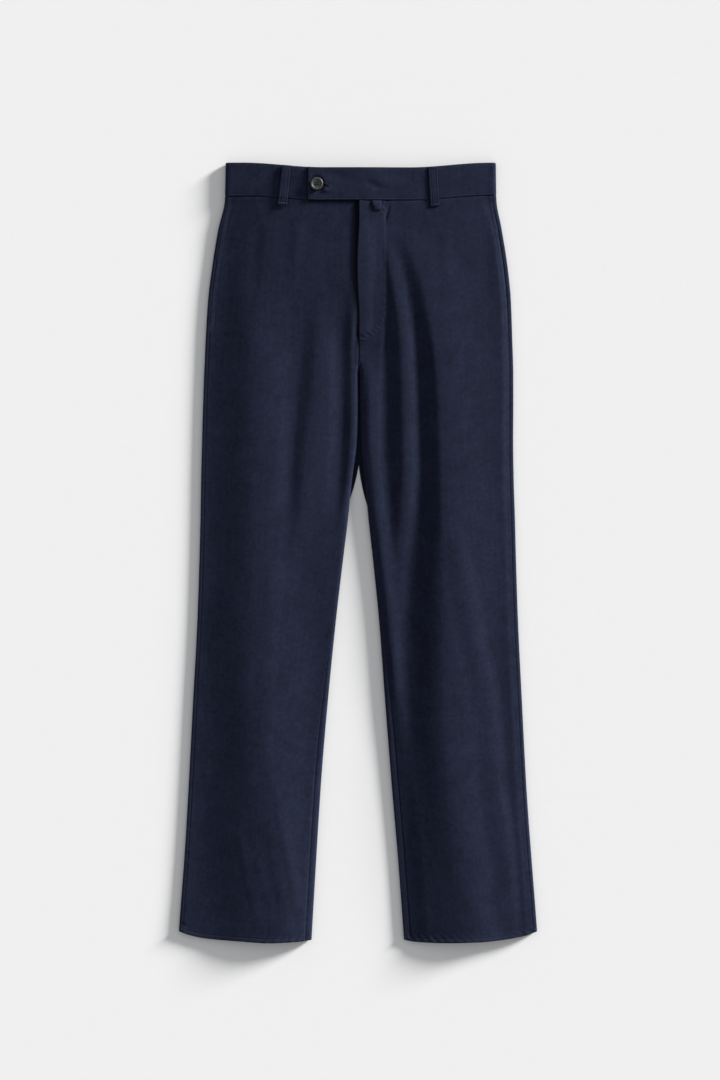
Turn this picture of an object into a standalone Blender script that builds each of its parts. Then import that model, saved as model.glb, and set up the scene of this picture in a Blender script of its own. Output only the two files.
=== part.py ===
"""Chino trousers laid flat, front up, with the waist button done up.

Every cut and sewn piece is its own solid: two backs, two fronts, the waistband's two
halves, two pocket facings, two belt loops, the prong keeper and the waist button.

Frame: metres, +Z up. X runs from the wearer's right to the wearer's left, Y from the
hems to the waist, and the backs lie on Z = 0. The origin is under the middle of the
outline. A "drop" is a distance down from the waistband's top corners, and sizes in
the tables are millimetres.
"""

import math
from typing import NamedTuple

import bmesh
import bpy
from mathutils import Vector

MM = 0.001

# ---------------------------------------------------------------- driving sizes, mm
LENGTH = 1092.0             # waistband's top corners to the longest point of a hem
CROTCH = 284.0              # drop of the point where the four panels meet
CENTRE = 1.5                # x of the centre-front and centre-back seams
BAND_HEIGHT = 44.0          # finished waistband
WAIST_DIP = 7.0             # how far the waist sinks at its middle
HEM_RISE_SIDE = 16.0        # how far a hem rises at the side fold
HEM_RISE_INSEAM = 4.0       # and at the inseam fold

CLOTH = 1.2                 # twill
FACING = 1.0                # pocket facing
BAND = 2.0                  # waistband, two layers and their interfacing
STRAP = 1.6                 # belt loop, folded and topstitched
SEAM = 0.3                  # between two pieces that are sewn together

LOFT = 9.0                  # the front's outer face above the floor, where it is flat
FOLD = 5.0                  # depth of the side folds, along X
ARC = 7.46                  # length of cloth in a quarter of a fold
CROTCH_TURN = 8.0           # drop over which the front turns to the back at the crotch
INSEAM_ON_FRONT = 11.5      # cloth from the inner fold's edge to the inseam
RELIEF_REACH = 14.0         # the folds of the cloth grow from an edge over this
BAND_PROUD = 0.8            # the waistband's face above the front's

FLY_END = 244.0             # drop of the fly's lower end
FLY_UNDERLAP = 14.0         # right front under the left front
FLY_LIFT = 2.2              # left front over the right one
FLY_WIDTH = 35.0            # of the raised strip beside the fly's edge
FLY_SHOULDER = 23.0         # over which it comes down

TAB_END = -70.0             # x of the waistband's tab, on the wearer's right
TAB_LIFT = 2.6              # tab over the right waistband
TAB_RAMP = (17.0, 58.0)     # x over which the lift dies away

POCKET_TOP = 46.0           # drop of the pocket mouth's ends
POCKET_END = 235.0
POCKET_FACING_DEPTH = 14.0  # facing under the front, from the mouth

LOOP_WIDTH = 12.6
LOOP_END = 55.8             # a belt loop's lower end, below the waist's top edge
LOOP_ARCH = 2.6

KEEPER_END = 67.0           # drop of the prong keeper's lower end
KEEPER_ARCH = 1.8

BUTTON_PLACE = (-57.7, 21.6)    # x, and distance below the waist's top edge
BUTTON_RADIUS = 9.0
BUTTON_HEIGHT = 3.2

# ------------------------------------------------- tables, mm: the outline and the folds
RIGHT_CENTRE = CENTRE - SEAM / 2
LEFT_CENTRE = CENTRE + SEAM / 2


class Outline(NamedTuple):
    """Where the folded edges lie at one drop."""
    drop: float
    right_side: float
    right_inner: float
    left_inner: float
    left_side: float


OUTLINE = (
    Outline(0, -185.5, RIGHT_CENTRE, LEFT_CENTRE, 193.2),
    Outline(48, -186.6, RIGHT_CENTRE, LEFT_CENTRE, 193.9),
    Outline(94, -196.0, RIGHT_CENTRE, LEFT_CENTRE, 201.6),
    Outline(143, -204.0, RIGHT_CENTRE, LEFT_CENTRE, 209.3),
    Outline(192, -210.0, RIGHT_CENTRE, LEFT_CENTRE, 214.2),
    Outline(248, -213.5, RIGHT_CENTRE, LEFT_CENTRE, 216.2),
    Outline(CROTCH, -215.0, RIGHT_CENTRE, LEFT_CENTRE, 217.4),
    Outline(296, -215.6, -0.4, 3.4, 217.6),
    Outline(335, -217.0, 0.2, 3.6, 217.7),
    Outline(386, -218.4, -1.1, 4.6, 217.4),
    Outline(444, -219.8, -8.4, 9.8, 218.2),
    Outline(500, -220.8, -14.2, 14.8, 220.0),
    Outline(556, -222.2, -21.0, 21.0, 221.4),
    Outline(640, -225.0, -30.8, 29.4, 224.2),
    Outline(752, -231.0, -42.0, 37.8, 229.6),
    Outline(864, -236.8, -51.4, 46.6, 235.4),
    Outline(976, -243.2, -58.4, 56.0, 242.9),
    Outline(LENGTH, -251.0, -65.0, 64.4, 251.0),
)


class Crest(NamedTuple):
    """One point along a fold of the cloth: height is negative in a valley."""
    drop: float
    x: float
    height: float
    inward: float       # width of the flank towards the other leg
    outward: float      # and towards the side


RIGHT_FOLDS = (
    # the leg's broad crown, from the hip to the hem
    (Crest(120, -150, 0, 60, 50), Crest(290, -151, 6, 62, 60), Crest(460, -148, 6.5, 60, 68),
     Crest(660, -161, 7, 90, 60), Crest(850, -144, 7, 80, 85), Crest(1092, -135, 5, 62, 105)),
    # ridge from the fly's end down the thigh
    (Crest(170, -56, 0, 30, 22), Crest(300, -64, 4, 36, 24), Crest(430, -74, 4, 44, 26),
     Crest(570, -84, 0, 40, 26)),
    # valley between the crown and that ridge
    (Crest(200, -92, 0, 20, 20), Crest(330, -90, -2, 22, 22), Crest(440, -92, -2, 22, 22),
     Crest(540, -95, 0, 20, 20)),
    # valley beside the inner fold
    (Crest(190, -24, 0, 14, 20), Crest(330, -24, -4.5, 16, 22), Crest(430, -25, -4.5, 16, 22),
     Crest(510, -34, 0, 14, 20)),
    # rim along the inner fold
    (Crest(300, -8, 0, 8, 14), Crest(370, -6, 2, 8, 16), Crest(470, -14, 2, 8, 16),
     Crest(560, -28, 0, 8, 16)),
)

LEFT_FOLDS = (
    # the leg's crown, steep on its inner flank
    (Crest(110, 72, 0, 30, 60), Crest(290, 105, 7, 32, 95), Crest(460, 113, 7.5, 33, 92),
     Crest(612, 115, 8, 46, 90), Crest(750, 118, 8, 52, 88), Crest(900, 131, 7.5, 62, 80),
     Crest(1092, 172, 5, 100, 60)),
    # ridge beside the fly and down the thigh
    (Crest(129, 44, 0, 14, 18), Crest(248, 57, 4.5, 17, 22), Crest(416, 61, 4.5, 18, 20),
     Crest(560, 55, 0, 18, 18)),
    # deep valley between that ridge and the crown
    (Crest(140, 62, 0, 14, 14), Crest(290, 80, -4.5, 18, 20), Crest(416, 84, -5, 18, 22),
     Crest(600, 72, -3, 22, 30), Crest(780, 62, -1.5, 22, 40), Crest(900, 60, 0, 20, 30)),
    # valley beside the inner fold
    (Crest(200, 39, 0, 12, 12), Crest(300, 39, -4, 16, 16), Crest(430, 41, -4, 18, 16),
     Crest(560, 46, 0, 14, 14)),
    # rim along the inner fold
    (Crest(270, 9, 0, 8, 24), Crest(330, 11, 2.5, 8, 26), Crest(430, 15, 2.5, 8, 26),
     Crest(520, 25, 1.5, 8, 24), Crest(620, 36, 0, 8, 20)),
)


# ------------------------------------------------------------------ curves and steps
def smooth_line(positions, values):
    """A monotone cubic curve through the values, level beyond its ends."""
    slopes = [(values[i + 1] - values[i]) / (positions[i + 1] - positions[i])
              for i in range(len(values) - 1)]
    tangents = [slopes[0]]
    for before, after in zip(slopes, slopes[1:]):
        same_way = before * after > 0
        tangents.append(2 * before * after / (before + after) if same_way else 0.0)
    tangents.append(slopes[-1])

    def value(position):
        if position <= positions[0]:
            return values[0]
        if position >= positions[-1]:
            return values[-1]
        i = max(k for k in range(len(slopes)) if positions[k] <= position)
        span = positions[i + 1] - positions[i]
        t = (position - positions[i]) / span
        start = (1 + 2 * t) * (1 - t) ** 2 * values[i]
        end = t * t * (3 - 2 * t) * values[i + 1]
        bends = t * (1 - t) * ((1 - t) * tangents[i] - t * tangents[i + 1]) * span
        return start + end + bends

    return value


def column_lines(rows):
    """One smooth curve for each named column of a table, along its drop."""
    drops = [row.drop for row in rows]
    return {name: smooth_line(drops, [getattr(row, name) for row in rows])
            for name in rows[0]._fields[1:]}


def ease(t):
    """0 to 1 with level ends."""
    t = min(max(t, 0.0), 1.0)
    return t * t * (3 - 2 * t)


def steps(start, stop, count):
    """count + 1 even values from start to stop."""
    return [start + (stop - start) * i / count for i in range(count + 1)]


# --------------------------------------------------------------- the cloth's surface
EDGES = column_lines(OUTLINE)
FOLD_LINES = {
    "right": [column_lines(fold) for fold in RIGHT_FOLDS],
    "left": [column_lines(fold) for fold in LEFT_FOLDS],
}


class Leg(NamedTuple):
    """One half of the garment: a point lies at x = sign * out."""
    name: str
    sign: int

    def side(self, drop):
        return self.sign * EDGES[self.name + "_side"](drop)

    def inner(self, drop):
        return self.sign * EDGES[self.name + "_inner"](drop)


RIGHT = Leg("right", -1)
LEFT = Leg("left", 1)


def crotch_depth(drop):
    """How far the inner fold's edge lies from the front's face, and from the floor."""
    above = min(max((CROTCH - drop) / CROTCH_TURN, 0), 1)
    return LOFT / 2 * (1 - math.sqrt(1 - (1 - above) ** 2))


def relief(leg, out, drop):
    """Height that the folds of the cloth add to the front's face."""
    total = 0.0
    for fold in FOLD_LINES[leg.name]:
        away = out - leg.sign * fold["x"](drop)
        flank = fold["outward"](drop) if away > 0 else fold["inward"](drop)
        if abs(away) < flank:
            total += fold["height"](drop) * 0.5 * (1 + math.cos(math.pi * away / flank))
    from_side = ease((leg.side(drop) - out) / RELIEF_REACH)
    from_inner = ease((out - leg.inner(drop)) / RELIEF_REACH)
    above_crotch = ease((CROTCH - drop) / 40)
    from_waist = ease((drop - BAND_HEIGHT) / 60)
    return total * from_side * max(from_inner, above_crotch) * from_waist


def fly_lift(x, drop):
    """Height of the left front's raised strip beside the fly."""
    across = 1 - ease((x - CENTRE - FLY_WIDTH) / FLY_SHOULDER)
    along = 1 - ease((drop - FLY_END) / 20)
    easing = 1 - 0.2 * ease((drop - 150) / 80)
    return FLY_LIFT * across * along * easing


def waist_shift(x):
    """How far the waist sinks below its top corners."""
    return WAIST_DIP * (1 - ease((abs(x - 12) - 60) / 115))


def hem_shift(leg, out):
    """How far the hem rises above its longest point."""
    inner = leg.inner(LENGTH)
    across = (out - inner) / (leg.side(LENGTH) - inner)
    at_side = HEM_RISE_SIDE * min(max((across - 0.6) / 0.4, 0), 1) ** 1.7
    at_inseam = HEM_RISE_INSEAM * min(max((0.12 - across) / 0.12, 0), 1) ** 1.5
    return at_side + at_inseam


def point(leg, out, drop, height, lift=0.0):
    """The place of a point of the cloth, in metres."""
    x = leg.sign * out
    sink = waist_shift(x) * (1 - ease((drop - BAND_HEIGHT) / 90))
    rise = hem_shift(leg, out) * ease((drop - LENGTH + 200) / 200)
    y = LENGTH / 2 - drop - sink + rise
    return Vector((x, y, height + lift)) * MM


def side_ring(leg, drop, along, inset=0.0, half=LOFT / 2):
    """A point round the side fold: along < 0 is on top, > 0 on the floor.

    The edge of the fold is at 0. inset moves the point into the cloth's thickness.
    """
    centre = leg.side(drop) - FOLD
    angle = math.pi / 2 * max(1 - abs(along) / ARC, 0)
    out = centre + (FOLD - inset) * math.sin(angle) - max(abs(along) - ARC, 0)
    up = (half - inset) * math.cos(angle) * (-1 if along > 0 else 1)
    height = half + up
    if along < 0:
        height += relief(leg, out, drop)
    return out, height


def inner_ring(leg, drop, along):
    """A point round the inner fold, on top for along < 0 and on the floor for > 0.

    Above the crotch the fold opens: its top half joins the front's face and its lower
    half the floor, so that only the seams down the centre are left.
    """
    depth = crotch_depth(drop)
    part = min(abs(along) / ARC, 1)
    flat = max(abs(along) - ARC, 0)
    if drop < CROTCH:
        out = leg.inner(drop) + FOLD * part + flat
        drawn_in = depth * 0.5 * (1 + math.cos(math.pi * part))
    else:
        angle = math.pi / 2 * (1 - part)
        out = leg.inner(drop) + FOLD * (1 - math.sin(angle)) + flat
        drawn_in = depth * (1 - math.cos(angle))
    if along > 0:
        return out, drawn_in
    return out, LOFT - drawn_in + relief(leg, out, drop)


def inseam(drop):
    """Cloth from the inner fold's edge to the inseam, which starts at the crotch."""
    return INSEAM_ON_FRONT * ease((drop - CROTCH) / 260)


def half_seam(drop):
    """Half the gap between front and back, wider where the cloth turns at the crotch."""
    return SEAM / 2 + 0.2 * (1 - ease(abs(drop - CROTCH) / 15))


# -------------------------------------------------------------------- making pieces
def cloth_material(name, colour, roughness=0.9):
    material = bpy.data.materials.new(name)
    material.use_nodes = True
    shader = material.node_tree.nodes["Principled BSDF"]
    shader.inputs["Base Color"].default_value = (*colour, 1)
    shader.inputs["Roughness"].default_value = roughness
    shader.inputs["Metallic"].default_value = 0
    return material


def add_piece(name, mesh, material, collection):
    """An object of one piece, in the garment's collection."""
    data = bpy.data.meshes.new(name)
    mesh.to_mesh(data)
    mesh.free()
    data.materials.append(material)
    data.shade_smooth()
    piece = bpy.data.objects.new(name, data)
    collection.objects.link(piece)
    return piece


def add_panel(name, leg, rows, wall, material, collection):
    """Cloth through rows of points on its outer face, thickened inwards.

    A row runs clockwise seen from the hems, so the right leg's rows are turned round.
    """
    if leg is RIGHT:
        rows = [row[::-1] for row in rows]
    across = len(rows[0]) - 1
    down = len(rows) - 1
    mesh = bmesh.new()
    bmesh.ops.create_grid(mesh, x_segments=across, y_segments=down, size=1)
    for vertex in mesh.verts:
        column = round((vertex.co.x + 1) / 2 * across)
        row = round((1 - vertex.co.y) / 2 * down)
        vertex.co = rows[row][column]
    piece = add_piece(name, mesh, material, collection)
    thicken = piece.modifiers.new("wall", "SOLIDIFY")
    thicken.thickness = wall * MM
    thicken.offset = -1
    thicken.use_even_offset = True
    return piece


# ------------------------------------------------------------------------ the panels
PANEL_TOP = BAND_HEIGHT + SEAM

# Rows of points down the garment. Front and back share them, so that their seams
# match, down to the knee, from where the back takes every second one.
HIP_DROPS = (steps(PANEL_TOP, FLY_END - 12, 6)
             + [FLY_END - 3, FLY_END + 8, FLY_END + 20, CROTCH - 15])
CROTCH_DROPS = [CROTCH - CROTCH_TURN, CROTCH - 0.45 * CROTCH_TURN, CROTCH - 1.2, CROTCH,
                CROTCH + 4, CROTCH + 12, CROTCH + 28, CROTCH + 50]
LEG_DROPS = steps(CROTCH + 78, LENGTH, 22)
FRONT_DROPS = HIP_DROPS + CROTCH_DROPS + LEG_DROPS
BACK_DROPS = HIP_DROPS + CROTCH_DROPS + LEG_DROPS[:4] + LEG_DROPS[4::2]

# Places round a quarter of a fold, with one close to each edge, where the wall's rim
# then stands square to the cloth.
RIM = 0.4
QUARTER = (RIM, 0.35 * ARC, 0.68 * ARC, ARC)


def pocket_gape(leg, drop):
    """How far the front's edge stands back from the side seam at the pocket's mouth."""
    if not POCKET_TOP < drop < POCKET_END:
        return 0.0
    widest = 1.0 if leg is RIGHT else 2.0
    along = (drop - POCKET_TOP) / (POCKET_END - POCKET_TOP)
    return widest * math.sin(math.pi * along) ** 0.7


def back_rows(leg):
    """From the side seam, round the side fold, over the floor, to the inseam."""
    rows = []
    for drop in BACK_DROPS:
        gap = half_seam(drop)
        top = -ARC + SEAM / 2
        side = [side_ring(leg, drop, along)
                for along in [top, top + RIM] + steps(top, ARC, 6)[1:]]
        end = gap - inseam(drop)
        inner = [inner_ring(leg, drop, along)
                 for along in steps(ARC, end, 6)[:-1] + [end + RIM, end]]
        floor = [(out, 0.0) for out in steps(side[-1][0], inner[0][0], 5)[1:-1]]
        row = side + floor + inner
        rows.append([point(leg, out, drop, height) for out, height in row])
    return rows


def front_rows(leg):
    """From the centre or the inseam, across the top, to the side seam."""
    rows = []
    for drop in FRONT_DROPS:
        start = inseam(drop) + (half_seam(drop) if drop >= CROTCH else 0.0)
        inner = [inner_ring(leg, drop, -start - along) for along in (0,) + QUARTER]
        side_start = -ARC - SEAM / 2 - pocket_gape(leg, drop)
        side = [side_ring(leg, drop, side_start - along) for along in (RIM, 0)]
        width = side[0][0] - inner[-1][0]
        flat = []
        for along in steps(0, 1, 18)[1:-1]:
            out = inner[-1][0] + width * along ** 1.3
            flat.append((out, LOFT + relief(leg, out, drop)))
        if leg is RIGHT and drop < FLY_END - 8:
            inner = [(out - FLY_UNDERLAP * (1 - along / ARC), height)
                     for (out, height), along in zip(inner, (0,) + QUARTER)]
        row = inner + flat + side
        rows.append([point(leg, out, drop, height, fly_lift(out, drop) if leg is LEFT else 0)
                     for out, height in row])
    return rows


def facing_rows(leg):
    """Under the front's edge and round to the fold: it shows in the pocket's mouth."""
    under = CLOTH + SEAM
    reach = ARC + POCKET_FACING_DEPTH
    drops = [PANEL_TOP + 1] + [drop for drop in HIP_DROPS[1:] if drop <= POCKET_END + 3]
    rows = []
    for drop in drops:
        row = [side_ring(leg, drop, along, under)
               for along in (-reach, -0.6 * reach, -ARC, -0.75 * ARC, -0.5 * ARC)]
        rows.append([point(leg, out, drop, height) for out, height in row])
    return rows


def band_height(leg, x):
    """The waistband's outer face, with the tab's lift on the left half."""
    height = LOFT + BAND_PROUD
    if leg is LEFT:
        start, end = TAB_RAMP
        height += TAB_LIFT * (1 - ease((x - start) / (end - start)))
    return height


def band_rows(leg):
    """From the front end, over the top, round the side fold, to the centre back."""
    half = (LOFT + BAND_PROUD) / 2
    end = TAB_END if leg is LEFT else -CENTRE - FLY_UNDERLAP
    centre = leg.inner(0)
    rows = []
    for drop in steps(0, BAND_HEIGHT, 2):
        fold_start = leg.side(drop) - FOLD
        front = steps(end, fold_start, 24 if leg is LEFT else 18)[:-1]
        top = [(out, band_height(leg, leg.sign * out)) for out in front]
        side = [side_ring(leg, drop, along, half=half) for along in steps(-ARC, ARC, 8)]
        floor = [(out, 0.0) for out in steps(fold_start, centre + FOLD, 5)[1:] + [centre]]
        row = top + side + floor
        rows.append([point(leg, out, drop, height) for out, height in row])
    return rows


# --------------------------------------------------------- what lies on the panels
def top_face(leg, x, drop):
    """The highest cloth at a place: waistband, or the front below it."""
    if drop <= BAND_HEIGHT:
        return band_height(leg, x)
    lift = fly_lift(x, drop) if leg is LEFT else 0.0
    return LOFT + relief(leg, leg.sign * x, drop) + lift


def strap_rows(leg, centres, widths, drops, wall, arch):
    """A strap over the waistband or the front, touching it at both ends."""
    rows = []
    first, last = drops[0], drops[-1]
    for drop in drops:
        along = (drop - first) / (last - first)
        middle = centres[0] + (centres[1] - centres[0]) * along
        width = widths[0] + (widths[1] - widths[0]) * along
        rise = SEAM + wall + arch * math.sin(math.pi * along) ** 0.6
        row = []
        for across in (-0.5, 0, 0.5):
            x = middle + across * width
            height = max(top_face(leg, x, drop), top_face(leg, middle, drop)) + rise
            row.append(point(leg, leg.sign * x, drop, height))
        rows.append(row if leg is LEFT else row[::-1])
    return rows


def add_belt_loop(name, leg, top_x, end_x, material, collection):
    drops = [0.6, 3, 8, 15, 23, 31, 38, BAND_HEIGHT - 1, BAND_HEIGHT + 5, LOOP_END]
    rows = strap_rows(leg, (top_x, end_x), (LOOP_WIDTH, LOOP_WIDTH), drops, STRAP, LOOP_ARCH)
    return add_panel(name, leg, rows, STRAP, material, collection)


def add_keeper(material, collection):
    """Short tapered tab out of the waist seam that holds a belt's prong."""
    drops = steps(BAND_HEIGHT + 0.8, KEEPER_END - waist_shift(25), 5)
    rows = strap_rows(LEFT, (25.5, 25.5), (13, 8), drops, CLOTH, KEEPER_ARCH)
    return add_panel("prong_keeper", LEFT, rows, CLOTH, material, collection)


def add_button(material, collection):
    """A turned disc with a raised rim, on the tab."""
    x, drop = BUTTON_PLACE
    radius, height = BUTTON_RADIUS, BUTTON_HEIGHT
    dish = height - 0.9
    profile = ((0, dish), (0.62 * radius, dish), (0.72 * radius, height - 0.1),
               (0.86 * radius, height), (0.97 * radius, 0.75 * height),
               (radius, 0.5 * height), (0.93 * radius, 0.2 * height),
               (0.7 * radius, 0), (0, 0))
    mesh = bmesh.new()
    corners = [mesh.verts.new((r * MM, 0, z * MM)) for r, z in profile]
    for pair in zip(corners, corners[1:]):
        mesh.edges.new(pair)
    button = add_piece("waist_button", mesh, material, collection)
    turn = button.modifiers.new("turn", "SCREW")
    turn.steps = 24
    turn.render_steps = 24
    turn.use_merge_vertices = True
    turn.merge_threshold = 0.00005
    seat = band_height(LEFT, x) + SEAM
    button.location = point(LEFT, x, drop, seat)
    return button


# -------------------------------------------------------------------------- assembly
def main():
    for thing in list(bpy.data.objects):
        bpy.data.objects.remove(thing)
    garment = bpy.data.collections.new("chino_trousers")
    bpy.context.scene.collection.children.link(garment)

    navy = (0.013, 0.017, 0.034)
    for leg in (RIGHT, LEFT):
        twill = cloth_material(f"{leg.name}_twill", navy)
        add_panel(f"{leg.name}_back", leg, back_rows(leg), CLOTH, twill, garment)
        front_twill = cloth_material(f"{leg.name}_front_twill", navy)
        add_panel(f"{leg.name}_front", leg, front_rows(leg), CLOTH, front_twill, garment)
        band_twill = cloth_material(f"waistband_{leg.name}_twill", navy)
        add_panel(f"waistband_{leg.name}", leg, band_rows(leg), BAND, band_twill, garment)
        lining = cloth_material(f"pocket_facing_{leg.name}_twill", navy)
        add_panel(f"pocket_facing_{leg.name}", leg, facing_rows(leg), FACING, lining, garment)

    loop_cloth = cloth_material("belt_loop_twill", navy)
    add_belt_loop("belt_loop_right", RIGHT, -99.0, -104.0, loop_cloth, garment)
    add_belt_loop("belt_loop_left", LEFT, 106.0, 108.0, loop_cloth.copy(), garment)
    add_keeper(cloth_material("keeper_twill", navy), garment)
    add_button(cloth_material("horn", (0.06, 0.058, 0.055), 0.4), garment)


main()
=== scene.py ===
"""Chino trousers laid flat, front up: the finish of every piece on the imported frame.

Sizes in the tables and in the functions are millimetres. A "drop" is a distance down
from the waistband's top corners, "out" a distance from the middle towards a side, and
"across" a length of cloth from the edge of the inner fold.
"""

import functools
import math
from bisect import bisect_right
from typing import Callable, NamedTuple

import bmesh
import bpy
from mathutils import Matrix, Vector

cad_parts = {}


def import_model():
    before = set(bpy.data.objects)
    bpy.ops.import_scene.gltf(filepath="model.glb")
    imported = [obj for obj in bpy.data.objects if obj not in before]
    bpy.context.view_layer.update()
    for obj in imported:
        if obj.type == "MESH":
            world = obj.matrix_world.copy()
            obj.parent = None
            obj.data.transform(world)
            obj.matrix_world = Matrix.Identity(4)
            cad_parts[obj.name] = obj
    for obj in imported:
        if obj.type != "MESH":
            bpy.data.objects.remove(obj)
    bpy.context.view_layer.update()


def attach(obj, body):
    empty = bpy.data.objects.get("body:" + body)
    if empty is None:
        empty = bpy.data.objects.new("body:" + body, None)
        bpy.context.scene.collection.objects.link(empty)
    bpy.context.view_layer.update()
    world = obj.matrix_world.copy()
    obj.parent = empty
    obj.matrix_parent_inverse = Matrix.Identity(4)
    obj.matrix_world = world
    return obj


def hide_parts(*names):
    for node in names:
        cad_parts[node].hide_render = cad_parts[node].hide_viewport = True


MM = 0.001
UP = Vector((0, 0, 1))

# ---------------------------------------------------------------- driving sizes, mm
LENGTH = 1092.0
CROTCH = 284.0              # drop of the point where the four panels meet
CENTRE = 1.5                # x of the centre-front and centre-back seams
BAND_HEIGHT = 44.0
WAIST_DIP = 7.0             # how far the waist sinks at its middle
DIP_MIDDLE = 12.0           # x of that middle
DIP_LEVEL = 60.0            # half of the stretch that sinks as far
DIP_SLOPE = 115.0           # from there to where the waist no longer sinks

TWILL = 0.7                 # one layer of the cloth
BAND = 1.9                  # waistband: two layers and their interfacing
STRAP = 1.2                 # belt loop, folded
KEEPER_WALL = 1.1
INNER_LAYER = 0.5           # cloth that shows only past an edge
SEAM = 0.3                  # gap between pieces that are sewn together

LOFT = 9.0                  # the front's outer face above the floor, where it is flat
FOLD = 5.0                  # depth of the side folds, along X
ARC = 7.46                  # length of cloth in a quarter of a fold
CROTCH_TURN = 8.0
INSEAM_ON_FRONT = 11.5      # cloth from the inner fold's edge to the inseam
RELIEF_REACH = 14.0         # the folds of the cloth grow from an edge over this
BAND_PROUD = 0.4
SWELL = 5.8                 # the waist's fullness at its middle

FLY_END = 244.0
FLY_UNDERLAP = 14.0
SEAM_UNDERLAP = 3.0         # of the right front below the fly
FLY_LIFT = 3.0              # of the strip's edge
FLY_BOW = 2.6               # how far the fly's edge bows over the right front
FLY_BOW_DROP = 143.0        # the drop at which it does
FLY_BOW_HALF = 80.0         # and half of the bow's length
FLY_BOW_REACH = 16.0        # the bow fades out away from the edge over this
FLY_WIDTH = 35.0            # of the raised strip
FLY_SHOULDER = 23.0         # past the strip its lift fades out over this

TAB_END = -70.0
TAB_LIFT = 2.6
TAB_RAMP = (17.0, 58.0)     # x from which the tab's lift fades out, and where it ends

POCKET_TOP = 46.0
POCKET_END = 235.0
POCKET_FACING_DEPTH = 14.0
POCKET_STITCH = 6.0         # from the pocket's edge to its topstitching

LOOP_CENTRES = {"right": (-99.8, -106.0), "left": (104.4, 107.6)}    # at top and foot
LOOP_WIDTHS = {"right": (11.8, 12.8), "left": (12.8, 12.0)}
LOOP_TOP = 0.6
LOOP_END = 55.0
LOOP_ARCH = 0.8
LOOP_TURN_UP = 5.0          # folded end below the lower bar tack

KEEPER_CENTRES = (26.0, 27.4)   # at top and foot
KEEPER_WIDTHS = (13.4, 8.0)
KEEPER_END = 66.2
KEEPER_ARCH = 1.1

BUTTON_PLACE = (-57.7, 22.3)    # x, and distance below the waist's top edge
BUTTON_RADIUS = 9.0
BUTTON_HEIGHT = 3.2
BUTTON_DISH = 1.1               # depth of its middle below the rim
HOLE_RADIUS = 1.15
HOLE_CIRCLE = 2.5               # from the button's middle to a hole's
HOLE_TURN = math.radians(12)    # as sewn
BUTTONHOLE = ((-62.0, 20.5), (-40.8, 25.3))     # the slit's ends, x and drop

# the fork reaches past the fronts' slit into the shade between the legs: there its dark cloth is
# painted shade
FORK_END = 484.0            # lowest drop of the seat's fork, at its sides
FORK_ARCH = 0.30            # share of its length by which its middle is shorter
HEM_STITCH = 6.0            # from the hem's edge to its stitching
HEM_RELIEF = 16.0           # height of the strip above the hem's edge with its own relief
HEM_SLANT_REACH = 200.0     # the hem's slant fades out up the leg over this
FLY_STITCH = (37.6, 39.8)   # x of the fly's stitching at the waist and where it turns
FLY_TURN = (5.0, 205.0)     # middle of the arc that brings it to the fly's end
FLY_TURN_DROP = 38.6        # and that arc's height

RIGHT_CENTRE = CENTRE - SEAM / 2
LEFT_CENTRE = CENTRE + SEAM / 2
PANEL_TOP = BAND_HEIGHT + SEAM


# ------------------------------------------------- tables, mm: the outline and the folds
class Outline(NamedTuple):
    """Where the folded edges lie at one drop."""
    drop: float
    right_side: float
    right_inner: float
    left_inner: float
    left_side: float


OUTLINE = (
    Outline(0, -185.5, RIGHT_CENTRE, LEFT_CENTRE, 193.2),
    Outline(48, -186.6, RIGHT_CENTRE, LEFT_CENTRE, 193.9),
    Outline(94, -196.0, RIGHT_CENTRE, LEFT_CENTRE, 201.6),
    Outline(143, -204.0, RIGHT_CENTRE, LEFT_CENTRE, 209.3),
    Outline(192, -210.0, RIGHT_CENTRE, LEFT_CENTRE, 214.2),
    Outline(248, -213.5, RIGHT_CENTRE, LEFT_CENTRE, 216.2),
    Outline(CROTCH, -215.0, RIGHT_CENTRE, LEFT_CENTRE, 217.4),
    Outline(296, -215.6, -0.4, 3.4, 217.6),
    Outline(335, -217.0, 0.2, 3.6, 217.7),
    Outline(386, -218.4, -1.1, 4.6, 217.4),
    Outline(444, -219.8, -8.4, 9.8, 218.2),
    Outline(500, -220.8, -14.2, 14.8, 220.0),
    Outline(556, -222.2, -21.0, 21.0, 221.4),
    Outline(640, -225.0, -30.8, 29.4, 224.2),
    Outline(752, -231.0, -42.0, 37.8, 229.6),
    Outline(864, -236.8, -51.4, 46.6, 235.4),
    Outline(976, -243.2, -58.4, 56.0, 242.9),
    Outline(LENGTH, -251.0, -65.0, 64.4, 251.0),
)


class Rise(NamedTuple):
    """How far the hem lies above its longest point, by its share of the way out."""
    share: float
    height: float


HEM_RISES = {
    "right": (Rise(0, 4.2), Rise(0.1, 1.8), Rise(0.33, 0), Rise(0.53, 2.2), Rise(0.8, 6.2),
              Rise(0.92, 10.8), Rise(1, 16.0)),
    "left": (Rise(0, 4.2), Rise(0.08, 1.4), Rise(0.3, 0), Rise(0.57, 1.4), Rise(0.74, 4.4),
             Rise(0.9, 9.6), Rise(1, 16.0)),
}


class Crest(NamedTuple):
    """One point along a fold of the cloth: height is negative in a valley."""
    drop: float
    x: float
    height: float
    inward: float       # width of the flank towards the other leg
    outward: float      # and towards the side


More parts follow.
